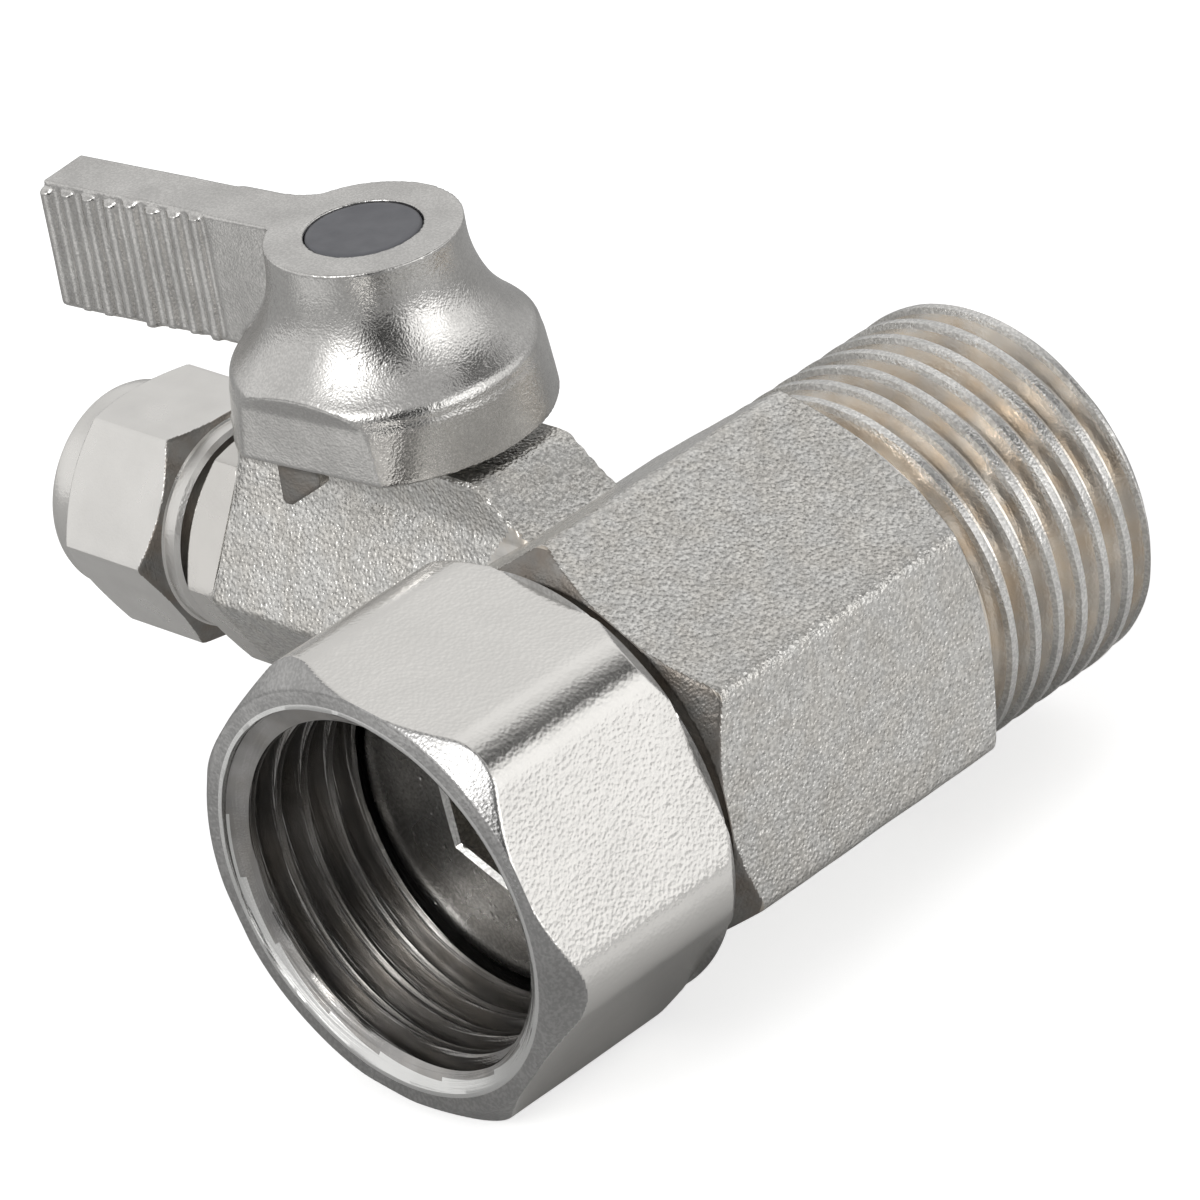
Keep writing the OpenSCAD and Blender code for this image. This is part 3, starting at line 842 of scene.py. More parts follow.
# Rubber, plastic and sealing rings
def moulded(name, tint, rough, grain=4.0, grainDepth=0.01, mottle=0.15, specular=0.5):
    material = bpy.data.materials.new(name)
    material.use_nodes = True
    nodes, links = material.node_tree.nodes, material.node_tree.links
    nodes.clear()
    coords = nodes.new("ShaderNodeTexCoord")
    coords.label = "object place"
    inMillimetres = nodes.new("ShaderNodeMapping")
    inMillimetres.label = "millimetres"
    grainTexture = nodes.new("ShaderNodeTexNoise")
    grainTexture.label = "moulded grain"
    relief = nodes.new("ShaderNodeBump")
    relief.label = "grain relief"
    cloud = nodes.new("ShaderNodeTexNoise")
    cloud.label = "uneven colour"
    shade = nodes.new("ShaderNodeMix")
    shade.label = "light and dark patches"
    roughShape = nodes.new("ShaderNodeMapRange")
    roughShape.label = "rubbed and dull patches"
    surface = nodes.new("ShaderNodeBsdfPrincipled")
    surface.label = "moulded surface"
    output = nodes.new("ShaderNodeOutputMaterial")
    groups = (
        ("place", (coords, inMillimetres)),
        ("relief", (grainTexture, relief)),
        ("colour", (cloud, shade)),
        ("finish", (roughShape, surface, output)),
    )
    for row, (title, members) in enumerate(groups):
        box = nodes.new("NodeFrame")
        box.label = title
        for column, node in enumerate(members):
            node.parent = box
            node.location = (-700 + 210 * column, 600 - 340 * row)
    inMillimetres.inputs["Scale"].default_value = (1 / mm, 1 / mm, 1 / mm)
    grainTexture.inputs["Scale"].default_value = grain
    grainTexture.inputs["Detail"].default_value = 3
    relief.inputs["Distance"].default_value = grainDepth * mm
    cloud.inputs["Scale"].default_value = 0.8
    cloud.inputs["Detail"].default_value = 4
    shade.data_type = "RGBA"
    shade.inputs["A"].default_value = (*tint, 1)
    shade.inputs["B"].default_value = (*[c * (1 - mottle) for c in tint], 1)
    roughShape.inputs["From Min"].default_value = 0.35
    roughShape.inputs["From Max"].default_value = 0.65
    roughShape.inputs["To Min"].default_value = rough - 0.05
    roughShape.inputs["To Max"].default_value = rough + 0.08
    surface.inputs["Specular IOR Level"].default_value = specular
    links.new(coords.outputs["Object"], inMillimetres.inputs["Vector"])
    links.new(inMillimetres.outputs[0], grainTexture.inputs["Vector"])
    links.new(inMillimetres.outputs[0], cloud.inputs["Vector"])
    links.new(grainTexture.outputs[0], relief.inputs["Height"])
    links.new(cloud.outputs[0], shade.inputs["Factor"])
    links.new(cloud.outputs[0], roughShape.inputs["Value"])
    links.new(shade.outputs["Result"], surface.inputs["Base Color"])
    links.new(roughShape.outputs[0], surface.inputs["Roughness"])
    links.new(relief.outputs[0], surface.inputs["Normal"])
    links.new(surface.outputs[0], output.inputs["Surface"])
    return material


finishes = {
    "blasted": metal(
        "blastedNickel", (0.87, 0.86, 0.835), 0.22, grain=4.9, grainDepth=0.066, wave=1.2, waveDepth=0.02,
        specks=0.35, stain=(0.72, 0.63, 0.50), stainAmount=0.15,
    ),
    "machined": metal(
        "machinedNickel", (0.72, 0.70, 0.67), 0.25, grainDepth=0.004, mottle=0.25, turned=0.02,
        stain=(0.60, 0.48, 0.34), stainAmount=0.4,
    ),
    "threadOutside": metal(
        "threadNickel", (0.93, 0.90, 0.86), 0.18, grain=6, grainDepth=0.010, mottle=0.28, turned=0.02,
        stain=(0.80, 0.68, 0.54), stainAmount=0.40,
    ),
    "threadCrest": metal(
        "threadCrestNickel", (0.92, 0.91, 0.89), 0.24, grain=6.5, grainDepth=0.022, mottle=0.2, specks=0.3,
    ),
    # Dark nickel inside the swivel nut, as painted shade in its bore
    "threadInsidePaintedShade": metal(
        "threadInsidePaintedShadeNickel", (0.52, 0.51, 0.50), 0.17, grain=8, grainDepth=0.006, mottle=0.4, turned=0.05,
        stain=(0.35, 0.32, 0.28), stainAmount=0.3,
    ),
    "mouth": metal("mouthNickel", (0.92, 0.92, 0.91), 0.18, grain=8, grainDepth=0.004, mottle=0.1, turned=0.05),
    # Dark nickel that paints the shade in the gaps between parts and on the lug under the handle's skirt, with a warm
    # stain on top
    "paintedShade": metal(
        "paintedShadeNickel", (0.36, 0.35, 0.335), 0.32, grain=6, grainDepth=0.02, mottle=0.35, turned=0.02,
        stain=(0.26, 0.20, 0.15), stainAmount=0.4,
    ),
    "nut": metal(
        "nutNickel", (0.84, 0.825, 0.80), 0.19, grain=4.4, grainDepth=0.012, wave=1.6, waveDepth=0.008, mottle=0.04,
        roughSpread=0.03,
    ),
    "nutEnd": metal(
        "nutEndNickel", (0.57, 0.565, 0.56), 0.26, grain=6, grainDepth=0.016, mottle=0.2, turned=0.012, specks=0.25,
    ),
    "insert": metal(
        "insertNickel", (0.95, 0.94, 0.92), 0.22, grainDepth=0.006, mottle=0.4, pitDepth=0.03, turned=0.012, specks=0.3,
    ),
    "connector": metal(
        "connectorNickel", (0.82, 0.80, 0.77), 0.24, grain=6, grainDepth=0.006, mottle=0.08, turned=0.008, axis="X",
    ),
    "gland": metal(
        "glandNickel", (0.89, 0.875, 0.85), 0.26, grain=7, grainDepth=0.008, mottle=0.08, turned=0.006, axis="X",
    ),
    "handle": metal(
        "castZinc", (0.78, 0.768, 0.75), 0.18, grain=8.5, grainDepth=0.012, wave=2.4, waveDepth=0.012, mottle=0.18,
        pitDepth=0.012, specks=0.20,
    ),
    "chrome": metal("ballChrome", (0.62, 0.63, 0.65), 0.05, wave=0.8, waveDepth=0.002, mottle=0.05, roughSpread=0.03),
    "brass": metal(
        "turnedBrass", (0.80, 0.62, 0.32), 0.22, grainDepth=0.003, mottle=0.2, turned=0.015, axis="Z",
    ),
    "brassRing": metal(
        "ferruleBrass", (0.82, 0.64, 0.34), 0.24, grainDepth=0.003, mottle=0.2, turned=0.012, axis="X",
    ),
    "steel": metal("screwSteel", (0.58, 0.59, 0.60), 0.28, grainDepth=0.006, mottle=0.25, turned=0.01, axis="Z"),
    "rubber": moulded("blackRubber", (0.018, 0.018, 0.019), 0.38),
    "seal": moulded("whiteSeal", (0.86, 0.86, 0.83), 0.42, mottle=0.06),
    "cap": moulded("greyCap", (0.145, 0.148, 0.165), 0.42, grain=7, grainDepth=0.006, mottle=0.2),
}
report("finishes made")


# Gives a mesh its finishes, and the second one to the faces that the test picks
def finishMesh(mesh, main, others=()):
    mesh.materials.clear()
    mesh.materials.append(finishes[main])
    for name, chosen in others:
        mesh.materials.append(finishes[name])
        slot = len(mesh.materials) - 1
        centres = np.empty(len(mesh.polygons) * 3)
        normals = np.empty(len(mesh.polygons) * 3)
        mesh.polygons.foreach_get("center", centres)
        mesh.polygons.foreach_get("normal", normals)
        index = np.empty(len(mesh.polygons), np.int32)
        mesh.polygons.foreach_get("material_index", index)
        index[chosen(centres.reshape(-1, 3).T, normals.reshape(-1, 3).T)] = slot
        mesh.polygons.foreach_set("material_index", index)


# Body: run hexagon with the male thread
runSizes = {
    "columns": 288,
    "acrossFlats": 21,
    "ridge": -92.9,
    "fillet": 0.7,
    "ridgeRadius": 11.96,
    "chamfer": 1.4,
    "hexStart": -9.25,
    "hexEnd": 8.2,
    "neckRadius": 9.9,
    "neckStart": -11.15,
    "pitch": 1.814,
    "crestRadius": 10.46,
    "rootRadius": 9.32,
    "threadStart": 9.05,
    "threadEnd": float(lowHigh("valve_body")[1].y),
    "endRadius": 9.95,
    "rowsPerPitch": 16,
    "boreRadius": 7.0,
    "insertRadius": 7.23,
    "insertEnd": -3.5,
}


def makeRun(s):
    angles = columnAngles(s["columns"])
    side = hexSide(angles, s["acrossFlats"], s["ridge"], s["fillet"])
    low = s["hexStart"] - 1.15
    high = s["hexEnd"] + 0.85

    chamfered, full = s["ridgeRadius"] - s["chamfer"], s["ridgeRadius"] + 0.05

    def hexRing(height):
        cone = np.interp(height, (low, s["hexStart"], s["hexEnd"], high), (chamfered, full, full, chamfered))
        return ring(angles, height, softMin(side, cone, 0.10))

    heights = np.concatenate([
        np.linspace(low, s["hexStart"] + 0.25, 24),
        np.linspace(s["hexStart"] + 0.6, s["hexEnd"] - 0.6, 34),
        np.linspace(s["hexEnd"] - 0.25, high, 20),
    ])
    rings = profileRings(angles, [
        (s["neckStart"], 0.0), (s["neckStart"], s["neckRadius"] - 0.15), (s["neckStart"] + 0.15, s["neckRadius"]),
        (low, s["neckRadius"]), (low, s["ridgeRadius"] - s["chamfer"] - 0.06),
    ], 3.0)
    rings += [hexRing(h) for h in heights]
    rings += profileRings(angles, [
        (high, s["rootRadius"] + 0.15), (high, s["rootRadius"]), (s["threadStart"], s["rootRadius"]),
    ], 1.0)[1:]
    turns = math.ceil((s["threadEnd"] - s["threadStart"]) / s["pitch"]) + 1
    thread = meshFromTree(threadTree(finishes["threadOutside"]), {
        "Crest radius": s["crestRadius"],
        "Root radius": s["rootRadius"],
        "Pitch": s["pitch"],
        "Start": s["threadStart"],
        "End": s["threadEnd"],
        "Turns": turns,
        "Fade in": 0.9,
        "Fade out": 0.01,
        "End radius": s["endRadius"],
        "Columns": s["columns"],
        "Rows": turns * s["rowsPerPitch"] + 1,
        "Crest from": 0.32,
        "Crest to": 0.78,
    })
    body = meshFromRings("run", rings, loop=False)
    rim = openRing(thread, s["threadEnd"])
    end = meshFromRings("end", [rim, ring(angles, s["threadEnd"], 0.0)], loop=False)
    return joinMeshes("run", [body, thread, end])


# Branch: hexagon with a block on top for the lever's boss
branchSizes = {
    "columns": 288,
    "acrossFlats": 12.56,
    "fillet": 0.4,
    "blockHalf": 3.4,
    "blockTop": 9.5,
    "facetTop": 11.5,
    "facetSlope": 0.808,
    "topBlend": 0.35,
    "sideBlend": 0.30,
    "start": 6.5,
    "end": float(-lowHigh("valve_body")[0].x),
    "foot": 1.6,
    "boreRadius": 1.9,
    "chamberRadius": 4.5,
    "connectorRadius": 5.0,
    "ballHalf": 4.2,
}
bossSizes = {
    "radius": 4.6,
    "foot": 9.0,
    "top": float(lowHigh("valve_body")[1].z),
    "boreRadius": 2.5,
    "pocketRadius": 3.05,
    "pocketTop": 5.7,
    "grooveIn": 5.9,
    "grooveOut": 7.95,
    "grooveFloor": 7.2,
}


def makeBranch(s):
    angles = columnAngles(s["columns"])
    side = hexSide(angles, s["acrossFlats"], 30, s["fillet"])
    upward = np.maximum(np.cos(angles), 1e-6)
    outward = np.maximum(np.abs(np.sin(angles)), 1e-6)

    def section(height):
        facet = s["blockTop"] - s["facetSlope"] * (s["facetTop"] - height)
        top = softMin(s["blockTop"], facet, s["topBlend"])
        block = np.where(np.cos(angles) > 0, softMin(s["blockHalf"] / outward, top / upward, s["sideBlend"]), 0)
        return softMax(side, block, s["foot"])

    heights = np.concatenate([
        np.linspace(s["start"], s["facetTop"] + 1, 30),
        np.linspace(s["facetTop"] + 1.5, s["end"] - 0.38, 26),
    ])
    rings = [ring(angles, s["start"], 0.0)]
    rings += [ring(angles, h, section(h)) for h in heights]
    rings += [ring(angles, s["end"], section(s["end"]) - 0.34), ring(angles, s["end"], 0.0)]
    mesh = meshFromRings("branch", rings, loop=False)
    weld(mesh)
    return mesh


def turned(mesh, turn):
    mesh.transform(turn)
    return mesh


def boxMesh(low, high):
    work = bmesh.new()
    bmesh.ops.create_cube(work, size=1)
    size, centre = Vector(high) - Vector(low), (Vector(high) + Vector(low)) / 2
    fit = Matrix.Translation(centre) @ Matrix.Diagonal((*size, 1))
    bmesh.ops.transform(work, matrix=fit, verts=work.verts)
    mesh = bpy.data.meshes.new("box")
    work.to_mesh(mesh)
    work.free()
    return mesh


def makeBody():
    s, b, p = runSizes, branchSizes, bossSizes
    mesh = makeRun(s)
    weld(mesh)
    body = objectFromMesh("bodyShell", turned(mesh, runFrame))
    combine(body, turned(makeBranch(b), branchFrame), "UNION")
    angles = columnAngles(96)
    boss = lathe("boss", angles, [
        (p["foot"], 0.0), (p["foot"], p["radius"]), (p["top"] - 0.25, p["radius"]),
        (p["top"], p["radius"] - 0.25), (p["top"], 0.0),
    ], loop=False)
    combine(body, turned(boss, stemFrame), "UNION")

    angles = columnAngles(s["columns"])
    bore, wide = s["boreRadius"], s["insertRadius"]
    runBore = lathe("bore", angles, [
        (s["neckStart"] - 1, 0.0), (s["neckStart"] - 1, wide), (s["insertEnd"], wide), (s["insertEnd"], bore),
        (s["threadEnd"] - 0.35, bore), (s["threadEnd"] + 0.65, bore + 1), (s["threadEnd"] + 0.65, 0.0),
    ], 4.0, loop=False)
    combine(body, turned(runBore, runFrame), "DIFFERENCE")
    angles = columnAngles(144)
    stem = -stemX
    branchBore = lathe("bore", angles, [
        (5, 0.0), (5, b["boreRadius"]), (stem - b["ballHalf"], b["boreRadius"]),
        (stem - b["ballHalf"], b["chamberRadius"]), (stem + b["ballHalf"], b["chamberRadius"]),
        (stem + b["ballHalf"], b["connectorRadius"]), (b["end"] - 0.3, b["connectorRadius"]),
        (b["end"] + 0.7, b["connectorRadius"] + 1), (b["end"] + 0.7, 0.0),
    ], 4.0, loop=False)
    combine(body, turned(branchBore, branchFrame), "DIFFERENCE")
    stemBore = lathe("bore", columnAngles(96), [
        (0, 0.0), (0, p["pocketRadius"]), (p["pocketTop"], p["pocketRadius"]), (p["pocketTop"], p["boreRadius"]),
        (p["top"] + 1, p["boreRadius"]), (p["top"] + 1, 0.0),
    ], 4.0, loop=False)
    combine(body, turned(stemBore, stemFrame), "DIFFERENCE")
    groove = objectFromMesh("groove", lathe("groove", columnAngles(96), [
        (p["grooveFloor"], p["grooveIn"]), (p["grooveFloor"], p["grooveOut"]),
        (b["blockTop"] + 1, p["grooveOut"]), (b["blockTop"] + 1, p["grooveIn"]),
    ], 4.0))
    combine(groove, boxMesh((-10, -5, 0), (-1, 5, 12)), "INTERSECT")
    combine(body, turned(groove.data.copy(), stemFrame), "DIFFERENCE")
    bpy.data.objects.remove(groove)

    half = s["ridgeRadius"]

    def inRun(c):
        return (np.hypot(c[0], c[2]) < half + 0.2) & (c[1] > s["neckStart"] - 0.1)

    def bores(c, n):
        fromRun = np.hypot(c[0], c[2])
        fromBranch = np.hypot(c[1], c[2])
        inner = inRun(c) & (fromRun < s["neckRadius"] - 0.5)
        return inner | ((c[0] < -half) & (fromBranch < 5.9)) | (np.hypot(c[0] - stemX, c[1]) < 3.2)

    def thread(c, n):
        return (c[1] > s["hexEnd"] + 0.75) & (np.hypot(c[0], c[2]) > s["rootRadius"] - 0.1)

    def crest(c, n):
        return thread(c, n) & (np.hypot(c[0], c[2]) > s["crestRadius"] - 0.45)

    def chamfers(c, n):
        coned = (np.abs(n[1]) > 0.45) & (np.hypot(c[0], c[2]) > s["neckRadius"] - 0.3)
        return (inRun(c) & coned & (c[1] < s["hexEnd"] + 0.85)) | (np.abs(c[1] - s["neckStart"]) < 0.7)

    def branchEdge(c, n):
        return (c[0] < -(b["end"] - 0.36)) & (np.hypot(c[1], c[2]) > 5.9) & (np.abs(n[0]) > 0.2)

    # Run faces that meet the swivel nut, and the neck inside it, get the dark finish as painted shade from the nut
    def nearNut(c, n):
        close = (c[1] < s["hexStart"] + 0.1) & (np.hypot(c[0], c[2]) < half - 0.1)
        shaded = (np.abs(n[1]) > 0.3) | (c[1] < s["hexStart"] - 1.1)
        return (chamfers(c, n) | inRun(c)) & close & shaded

    unevenness(body.data, 2.2, 0.035, 3.0)
    finishMesh(body.data, "blasted", (
        ("machined", chamfers), ("paintedShade", nearNut), ("machined", bores),
        ("threadOutside", thread), ("threadCrest", crest), ("mouth", branchEdge),
    ))
    place(body, Matrix.Identity(4), "body", ["valve_body"], 40)


makeBody()


# Swivel nut: soft-ridged hexagon with the female thread inside
nutSizes = {
    "columns": 288,
    "acrossFlats": 23,
    "ridge": -50.8,
    "fillet": 3.5,
    "ridgeRadius": 12.75,
    "front": float(lowHigh("swivel_nut")[0].y),
    "back": float(lowHigh("swivel_nut")[1].y),
    "frontChamfer": 1.3,
    "frontRadius": 11.5,
    "mouthRadius": 10.5,
    "pitch": 1.814,
    "rootRadius": 10.47,
    "crestRadius": 9.33,
    "mouthSlope": 1.65,
    "threadLength": 8.7,
    "reliefRadius": 10.6,
    "reliefEnd": -13.3,
    "lipRadius": 7.25,
    "rowsPerPitch": 16,
}


def makeNut(s):
    angles = columnAngles(s["columns"])
    side = hexSide(angles, s["acrossFlats"], s["ridge"], s["fillet"])
    front, back = s["front"], s["back"]

    def outerRing(height):
        cone = np.interp(
            height, (front, front + s["frontChamfer"], back - 1, back),
            (s["frontRadius"] + 0.02, s["ridgeRadius"] + 0.02, s["ridgeRadius"] + 0.02, 12.0),
        )
        return ring(angles, height, softMin(side, cone, 0.08))

    heights = np.concatenate([
        np.linspace(front + 0.06, front + s["frontChamfer"] + 0.3, 30),
        np.linspace(front + s["frontChamfer"] + 0.8, back - 1.3, 20),
        np.linspace(back - 1.1, back - 0.06, 18),
    ])
    end = front + s["threadLength"]
    rings = profileRings(angles, [(front, s["mouthRadius"]), (front, s["frontRadius"] - 0.08)], 0.3)
    rings += [outerRing(h) for h in heights]
    rings += profileRings(angles, [
        (back, 11.85), (back, s["lipRadius"] + 0.2), (back - 0.2, s["lipRadius"]),
        (s["reliefEnd"], s["lipRadius"]), (s["reliefEnd"], s["reliefRadius"]),
        (end + 0.25, s["reliefRadius"]), (end, s["rootRadius"]),
    ], 1.5)
    # The inner thread takes the dark finish: painted shade inside the nut
    turns = math.ceil(s["threadLength"] / s["pitch"]) + 1
    thread = meshFromTree(threadTree(finishes["threadInsidePaintedShade"]), {
        "Crest radius": s["crestRadius"],
        "Root radius": s["rootRadius"],
        "Pitch": s["pitch"],
        "Start": front,
        "End": end,
        "Turns": turns,
        "Fade in": 0.01,
        "Fade out": 0.4,
        "End radius": 20.0,
        "Columns": s["columns"],
        "Rows": turns * s["rowsPerPitch"] + 1,
        "Crest from": 0.28,
        "Crest to": 0.80,
    })
    for vertex in thread.vertices:
        mouth = s["mouthRadius"] - s["mouthSlope"] * (vertex.co.z - front)
        vertex.co.xy *= max(1, mouth / vertex.co.xy.length)
    thread.flip_normals()
    mesh = joinMeshes("swivelNut", [meshFromRings("nut", rings, loop=False), thread])
    weld(mesh)
    nut = objectFromMesh("swivelNutShell", mesh)

    def inside(c, n):
        return (np.hypot(c[0], c[1]) < s["mouthRadius"] + 0.12) & (c[2] < back - 0.3)

    def mouth(c, n):
        return inside(c, n) & (c[2] < front + 0.34)

    def ends(c, n):
        return (np.abs(n[2]) > 0.4) & (np.hypot(c[0], c[1]) > s["mouthRadius"] - 0.1)

    unevenness(nut.data, 5.0, 0.03, 9.0)
    # Inside faces are darkened as painted shade; the mouth and the ends keep their own finishes
    finishMesh(nut.data, "nut", (("nutEnd", ends), ("threadInsidePaintedShade", inside), ("mouth", mouth)))
    place(nut, runFrame, "swivel", ["swivel_nut"])


makeNut(nutSizes)


# Tail insert: flange with a hexagonal key socket, which holds the swivel nut on
insertSizes = {
    "columns": 240,
    "face": float(lowHigh("tail_insert")[0].y),
    "end": float(lowHigh("tail_insert")[1].y),
    "flangeRadius": 9.25,
    "flangeDepth": 1.6,
    "tubeRadius": 7.2,
    "boreRadius": 5.0,
    "socketDepth": 3.4,
    "socketFlats": 7.0,
    "socketRidge": -216,
    "ringFrom": -10.6,
    "ringTo": -9.2,
    "ringFloor": 6.03,
}


def makeInsert(s):
    angles = columnAngles(s["columns"])
    socket = hexSide(angles, s["socketFlats"], s["socketRidge"], 0.12)
    face, edge = s["face"], s["flangeRadius"]
    rings = profileRings(angles, [
        (face + 0.25, socket), (face, socket + 0.25), (face, edge - 0.35), (face + 0.08, edge - 0.12),
        (face + 0.3, edge), (face + s["flangeDepth"] - 0.1, edge), (face + s["flangeDepth"], edge - 0.1),
        (face + s["flangeDepth"], s["tubeRadius"]), (s["ringFrom"], s["tubeRadius"]),
        (s["ringFrom"], s["ringFloor"]), (s["ringTo"], s["ringFloor"]), (s["ringTo"], s["tubeRadius"]),
        (s["end"] - 0.3, s["tubeRadius"]), (s["end"], s["tubeRadius"] - 0.3), (s["end"], s["boreRadius"] + 0.2),
        (s["end"] - 0.2, s["boreRadius"]), (face + s["socketDepth"], s["boreRadius"]),
        (face + s["socketDepth"], socket),
    ], 1.2)
    piece = objectFromMesh("tailInsertShell", meshFromRings("tailInsert", rings))
    finishMesh(piece.data, "insert")
    place(piece, runFrame, "body", ["tail_insert"])


makeInsert(insertSizes)


# End connector: collar outside the branch, spigot and tube socket inside the nut
connectorSizes = {
    "columns": 192,
    "acrossFlats": 12.04,
    "start": -float(lowHigh("end_connector")[1].x),
    "collarStart": 29.5,
    "collarEnd": 32.0,
    "spigotStart": 33.4,
    "end": -float(lowHigh("end_connector")[0].x),
    "plugRadius": 4.97,
    "neckRadius": 4.2,
    "spigotRadius": 4.6,
    "portRadius": 1.9,
    "socketRadius": 3.25,
    "socketFloor": 34.5,
    "ringAt": 28.6,
    "ringFloor": 4.07,
}


def makeConnector(s):
    angles = columnAngles(s["columns"])
    side = hexSide(angles, s["acrossFlats"], 30, 0.35)
    start, end = s["collarStart"], s["collarEnd"]

    def collarRing(height):
        cone = np.interp(height, (start, start + 0.25, end - 0.75, end), (6.75, 7.0, 7.0, 5.95))
        return ring(angles, height, softMin(side, cone, 0.06))

    rings = profileRings(angles, [
        (s["start"], s["portRadius"]), (s["start"], s["plugRadius"] - 0.2), (s["start"] + 0.2, s["plugRadius"]),
        (s["ringAt"] - 0.6, s["plugRadius"]), (s["ringAt"] - 0.6, s["ringFloor"]),
        (s["ringAt"] + 0.6, s["ringFloor"]), (s["ringAt"] + 0.6, s["plugRadius"]), (start, s["plugRadius"]),
    ], 1.5)
    rings += [collarRing(h) for h in np.concatenate([
        np.linspace(start, start + 0.35, 8),
        np.linspace(start + 0.6, end - 1.0, 5),
        np.linspace(end - 0.9, end, 16),
    ])]
    rings += profileRings(angles, [
        (end, s["neckRadius"]), (s["spigotStart"], s["neckRadius"]), (s["spigotStart"], s["spigotRadius"]),
        (s["end"] - 0.2, s["spigotRadius"]), (s["end"], s["spigotRadius"] - 0.2), (s["end"], s["socketRadius"] + 0.85),
        (s["end"] - 0.85, s["socketRadius"]), (s["socketFloor"], s["socketRadius"]),
        (s["socketFloor"], s["portRadius"]),
    ], 1.5)

    # The neck between the collar and the spigot gets the dark finish: painted shade in the gap
    def gap(c, n):
        between = (c[2] > end - 0.02) & (c[2] < s["spigotStart"] + 0.02)
        return between & (np.hypot(c[0], c[1]) > s["neckRadius"] - 0.1)

    piece = objectFromMesh("endConnectorShell", meshFromRings("endConnector", rings))
    weld(piece.data)
    finishMesh(piece.data, "connector", (("paintedShade", gap),))
    place(piece, branchFrame, "body", ["end_connector"])


makeConnector(connectorSizes)


# Compression nut: hexagon that runs into a round collar
glandSizes = {
    "columns": 216,
    "acrossFlats": 12.2,
    "ridge": 31.3,
    "start": -float(lowHigh("compression_nut")[1].x),
    "end": -float(lowHigh("compression_nut")[0].x),
    "ringRadius": 5.8,
    "hexStart": 34.2,
    "hexEnd": 40.5,
    "collarRadius": 5.7,
    "boreRadius": 4.65,
    "coneStart": 40.2,
    "holeRadius": 3.25,
}


def makeGland(s):
    angles = columnAngles(s["columns"])
    side = hexSide(angles, s["acrossFlats"], s["ridge"], 0.3)
    ridge = s["acrossFlats"] / math.sqrt(3) + 0.05

    def outerRing(height):
        cone = np.interp(
            height, (s["hexStart"] - 0.05, s["hexStart"] + 0.85, s["hexEnd"], s["hexEnd"] + 0.9),
            (s["ringRadius"], ridge, ridge, s["collarRadius"]),
        )
        return ring(angles, height, softMin(side, cone, 0.08))

    heights = np.concatenate([
        np.linspace(s["hexStart"], s["hexStart"] + 1.0, 20),
        np.linspace(s["hexStart"] + 1.4, s["hexEnd"] - 0.3, 12),
        np.linspace(s["hexEnd"] - 0.1, s["hexEnd"] + 1.0, 20),
    ])
    rings = profileRings(angles, [
        (s["start"], s["boreRadius"] + 0.2), (s["start"], s["ringRadius"] - 0.25),
        (s["start"] + 0.25, s["ringRadius"] - 0.03), (s["hexStart"] - 0.1, s["ringRadius"] - 0.03),
    ], 0.6)
    rings += [outerRing(h) for h in heights]
    rings += profileRings(angles, [
        (s["hexEnd"] + 1.1, s["collarRadius"] - 0.01), (s["end"] - 0.4, s["collarRadius"] - 0.02),
        (s["end"] - 0.12, s["collarRadius"] - 0.14), (s["end"], s["collarRadius"] - 0.42),
        (s["end"], s["holeRadius"] + 0.3), (s["end"] - 0.3, s["holeRadius"]),
        (s["coneStart"] + s["boreRadius"] - s["holeRadius"], s["holeRadius"]), (s["coneStart"], s["boreRadius"]),
        (s["start"] + 0.2, s["boreRadius"]),
    ], 0.8)

    # The front cone gets the dark finish: painted shade in the gap next to the connector's collar
    def frontCone(c, n):
        return (c[2] < s["hexStart"] + 0.95) & (n[2] < -0.25) & (np.hypot(c[0], c[1]) > s["ringRadius"] + 0.03)

    piece = objectFromMesh("compressionNutShell", meshFromRings("compressionNut", rings))
    weld(piece.data)
    finishMesh(piece.data, "gland", (("paintedShade", frontCone),))
    place(piece, branchFrame, "gland_nut", ["compression_nut"])


makeGland(glandSizes)


# Handle: cast hub with a skirt, two flats, a ribbed lever and a stop lug
handleSizes = {
    "columns": 288,
    "turn": 186.5,
    "hubRadius": 5.2,
    "top": float(lowHigh("handle")[1].z),
    "bottom": 10.05,
    "bottomRadius": 8.45,
    "creaseHeight": 13.0,
    "creaseRadius": 8.22,
    "flareRadius": 7.4,
    "flareTop": 19.8,
    "flareTurn": 49,
    "shoulderRadius": 1.1,
    "flat": 7.15,
    "leverReach": 20.5,
    "leverHalf": 1.75,
    "leverBottom": 13.13,
    "leverFillet": 3.5,
    "tipLean": 0.35,
    "ribCount": 8,
    "ribPitch": 1.45,
    "ribFirst": 9.85,
    "ribRadius": 0.44,
    "ribDepth": 0.22,
    "ribbedHalf": 1.58,
    "nearFillet": 0.7,
    "lugFrom": 0.0,
    "lugTo": 2.6,
    "lugDepth": 2.5,
    "lugThickness": 0.9,
    "lugInset": 0.35,
    "recessRadius": 5.6,
    "recessTop": 12.6,
    "pocketRadius": 3.1,
    "pocketFloor": 15.2,
    "squareHalf": 1.7,
    "voxel": 0.135,
}


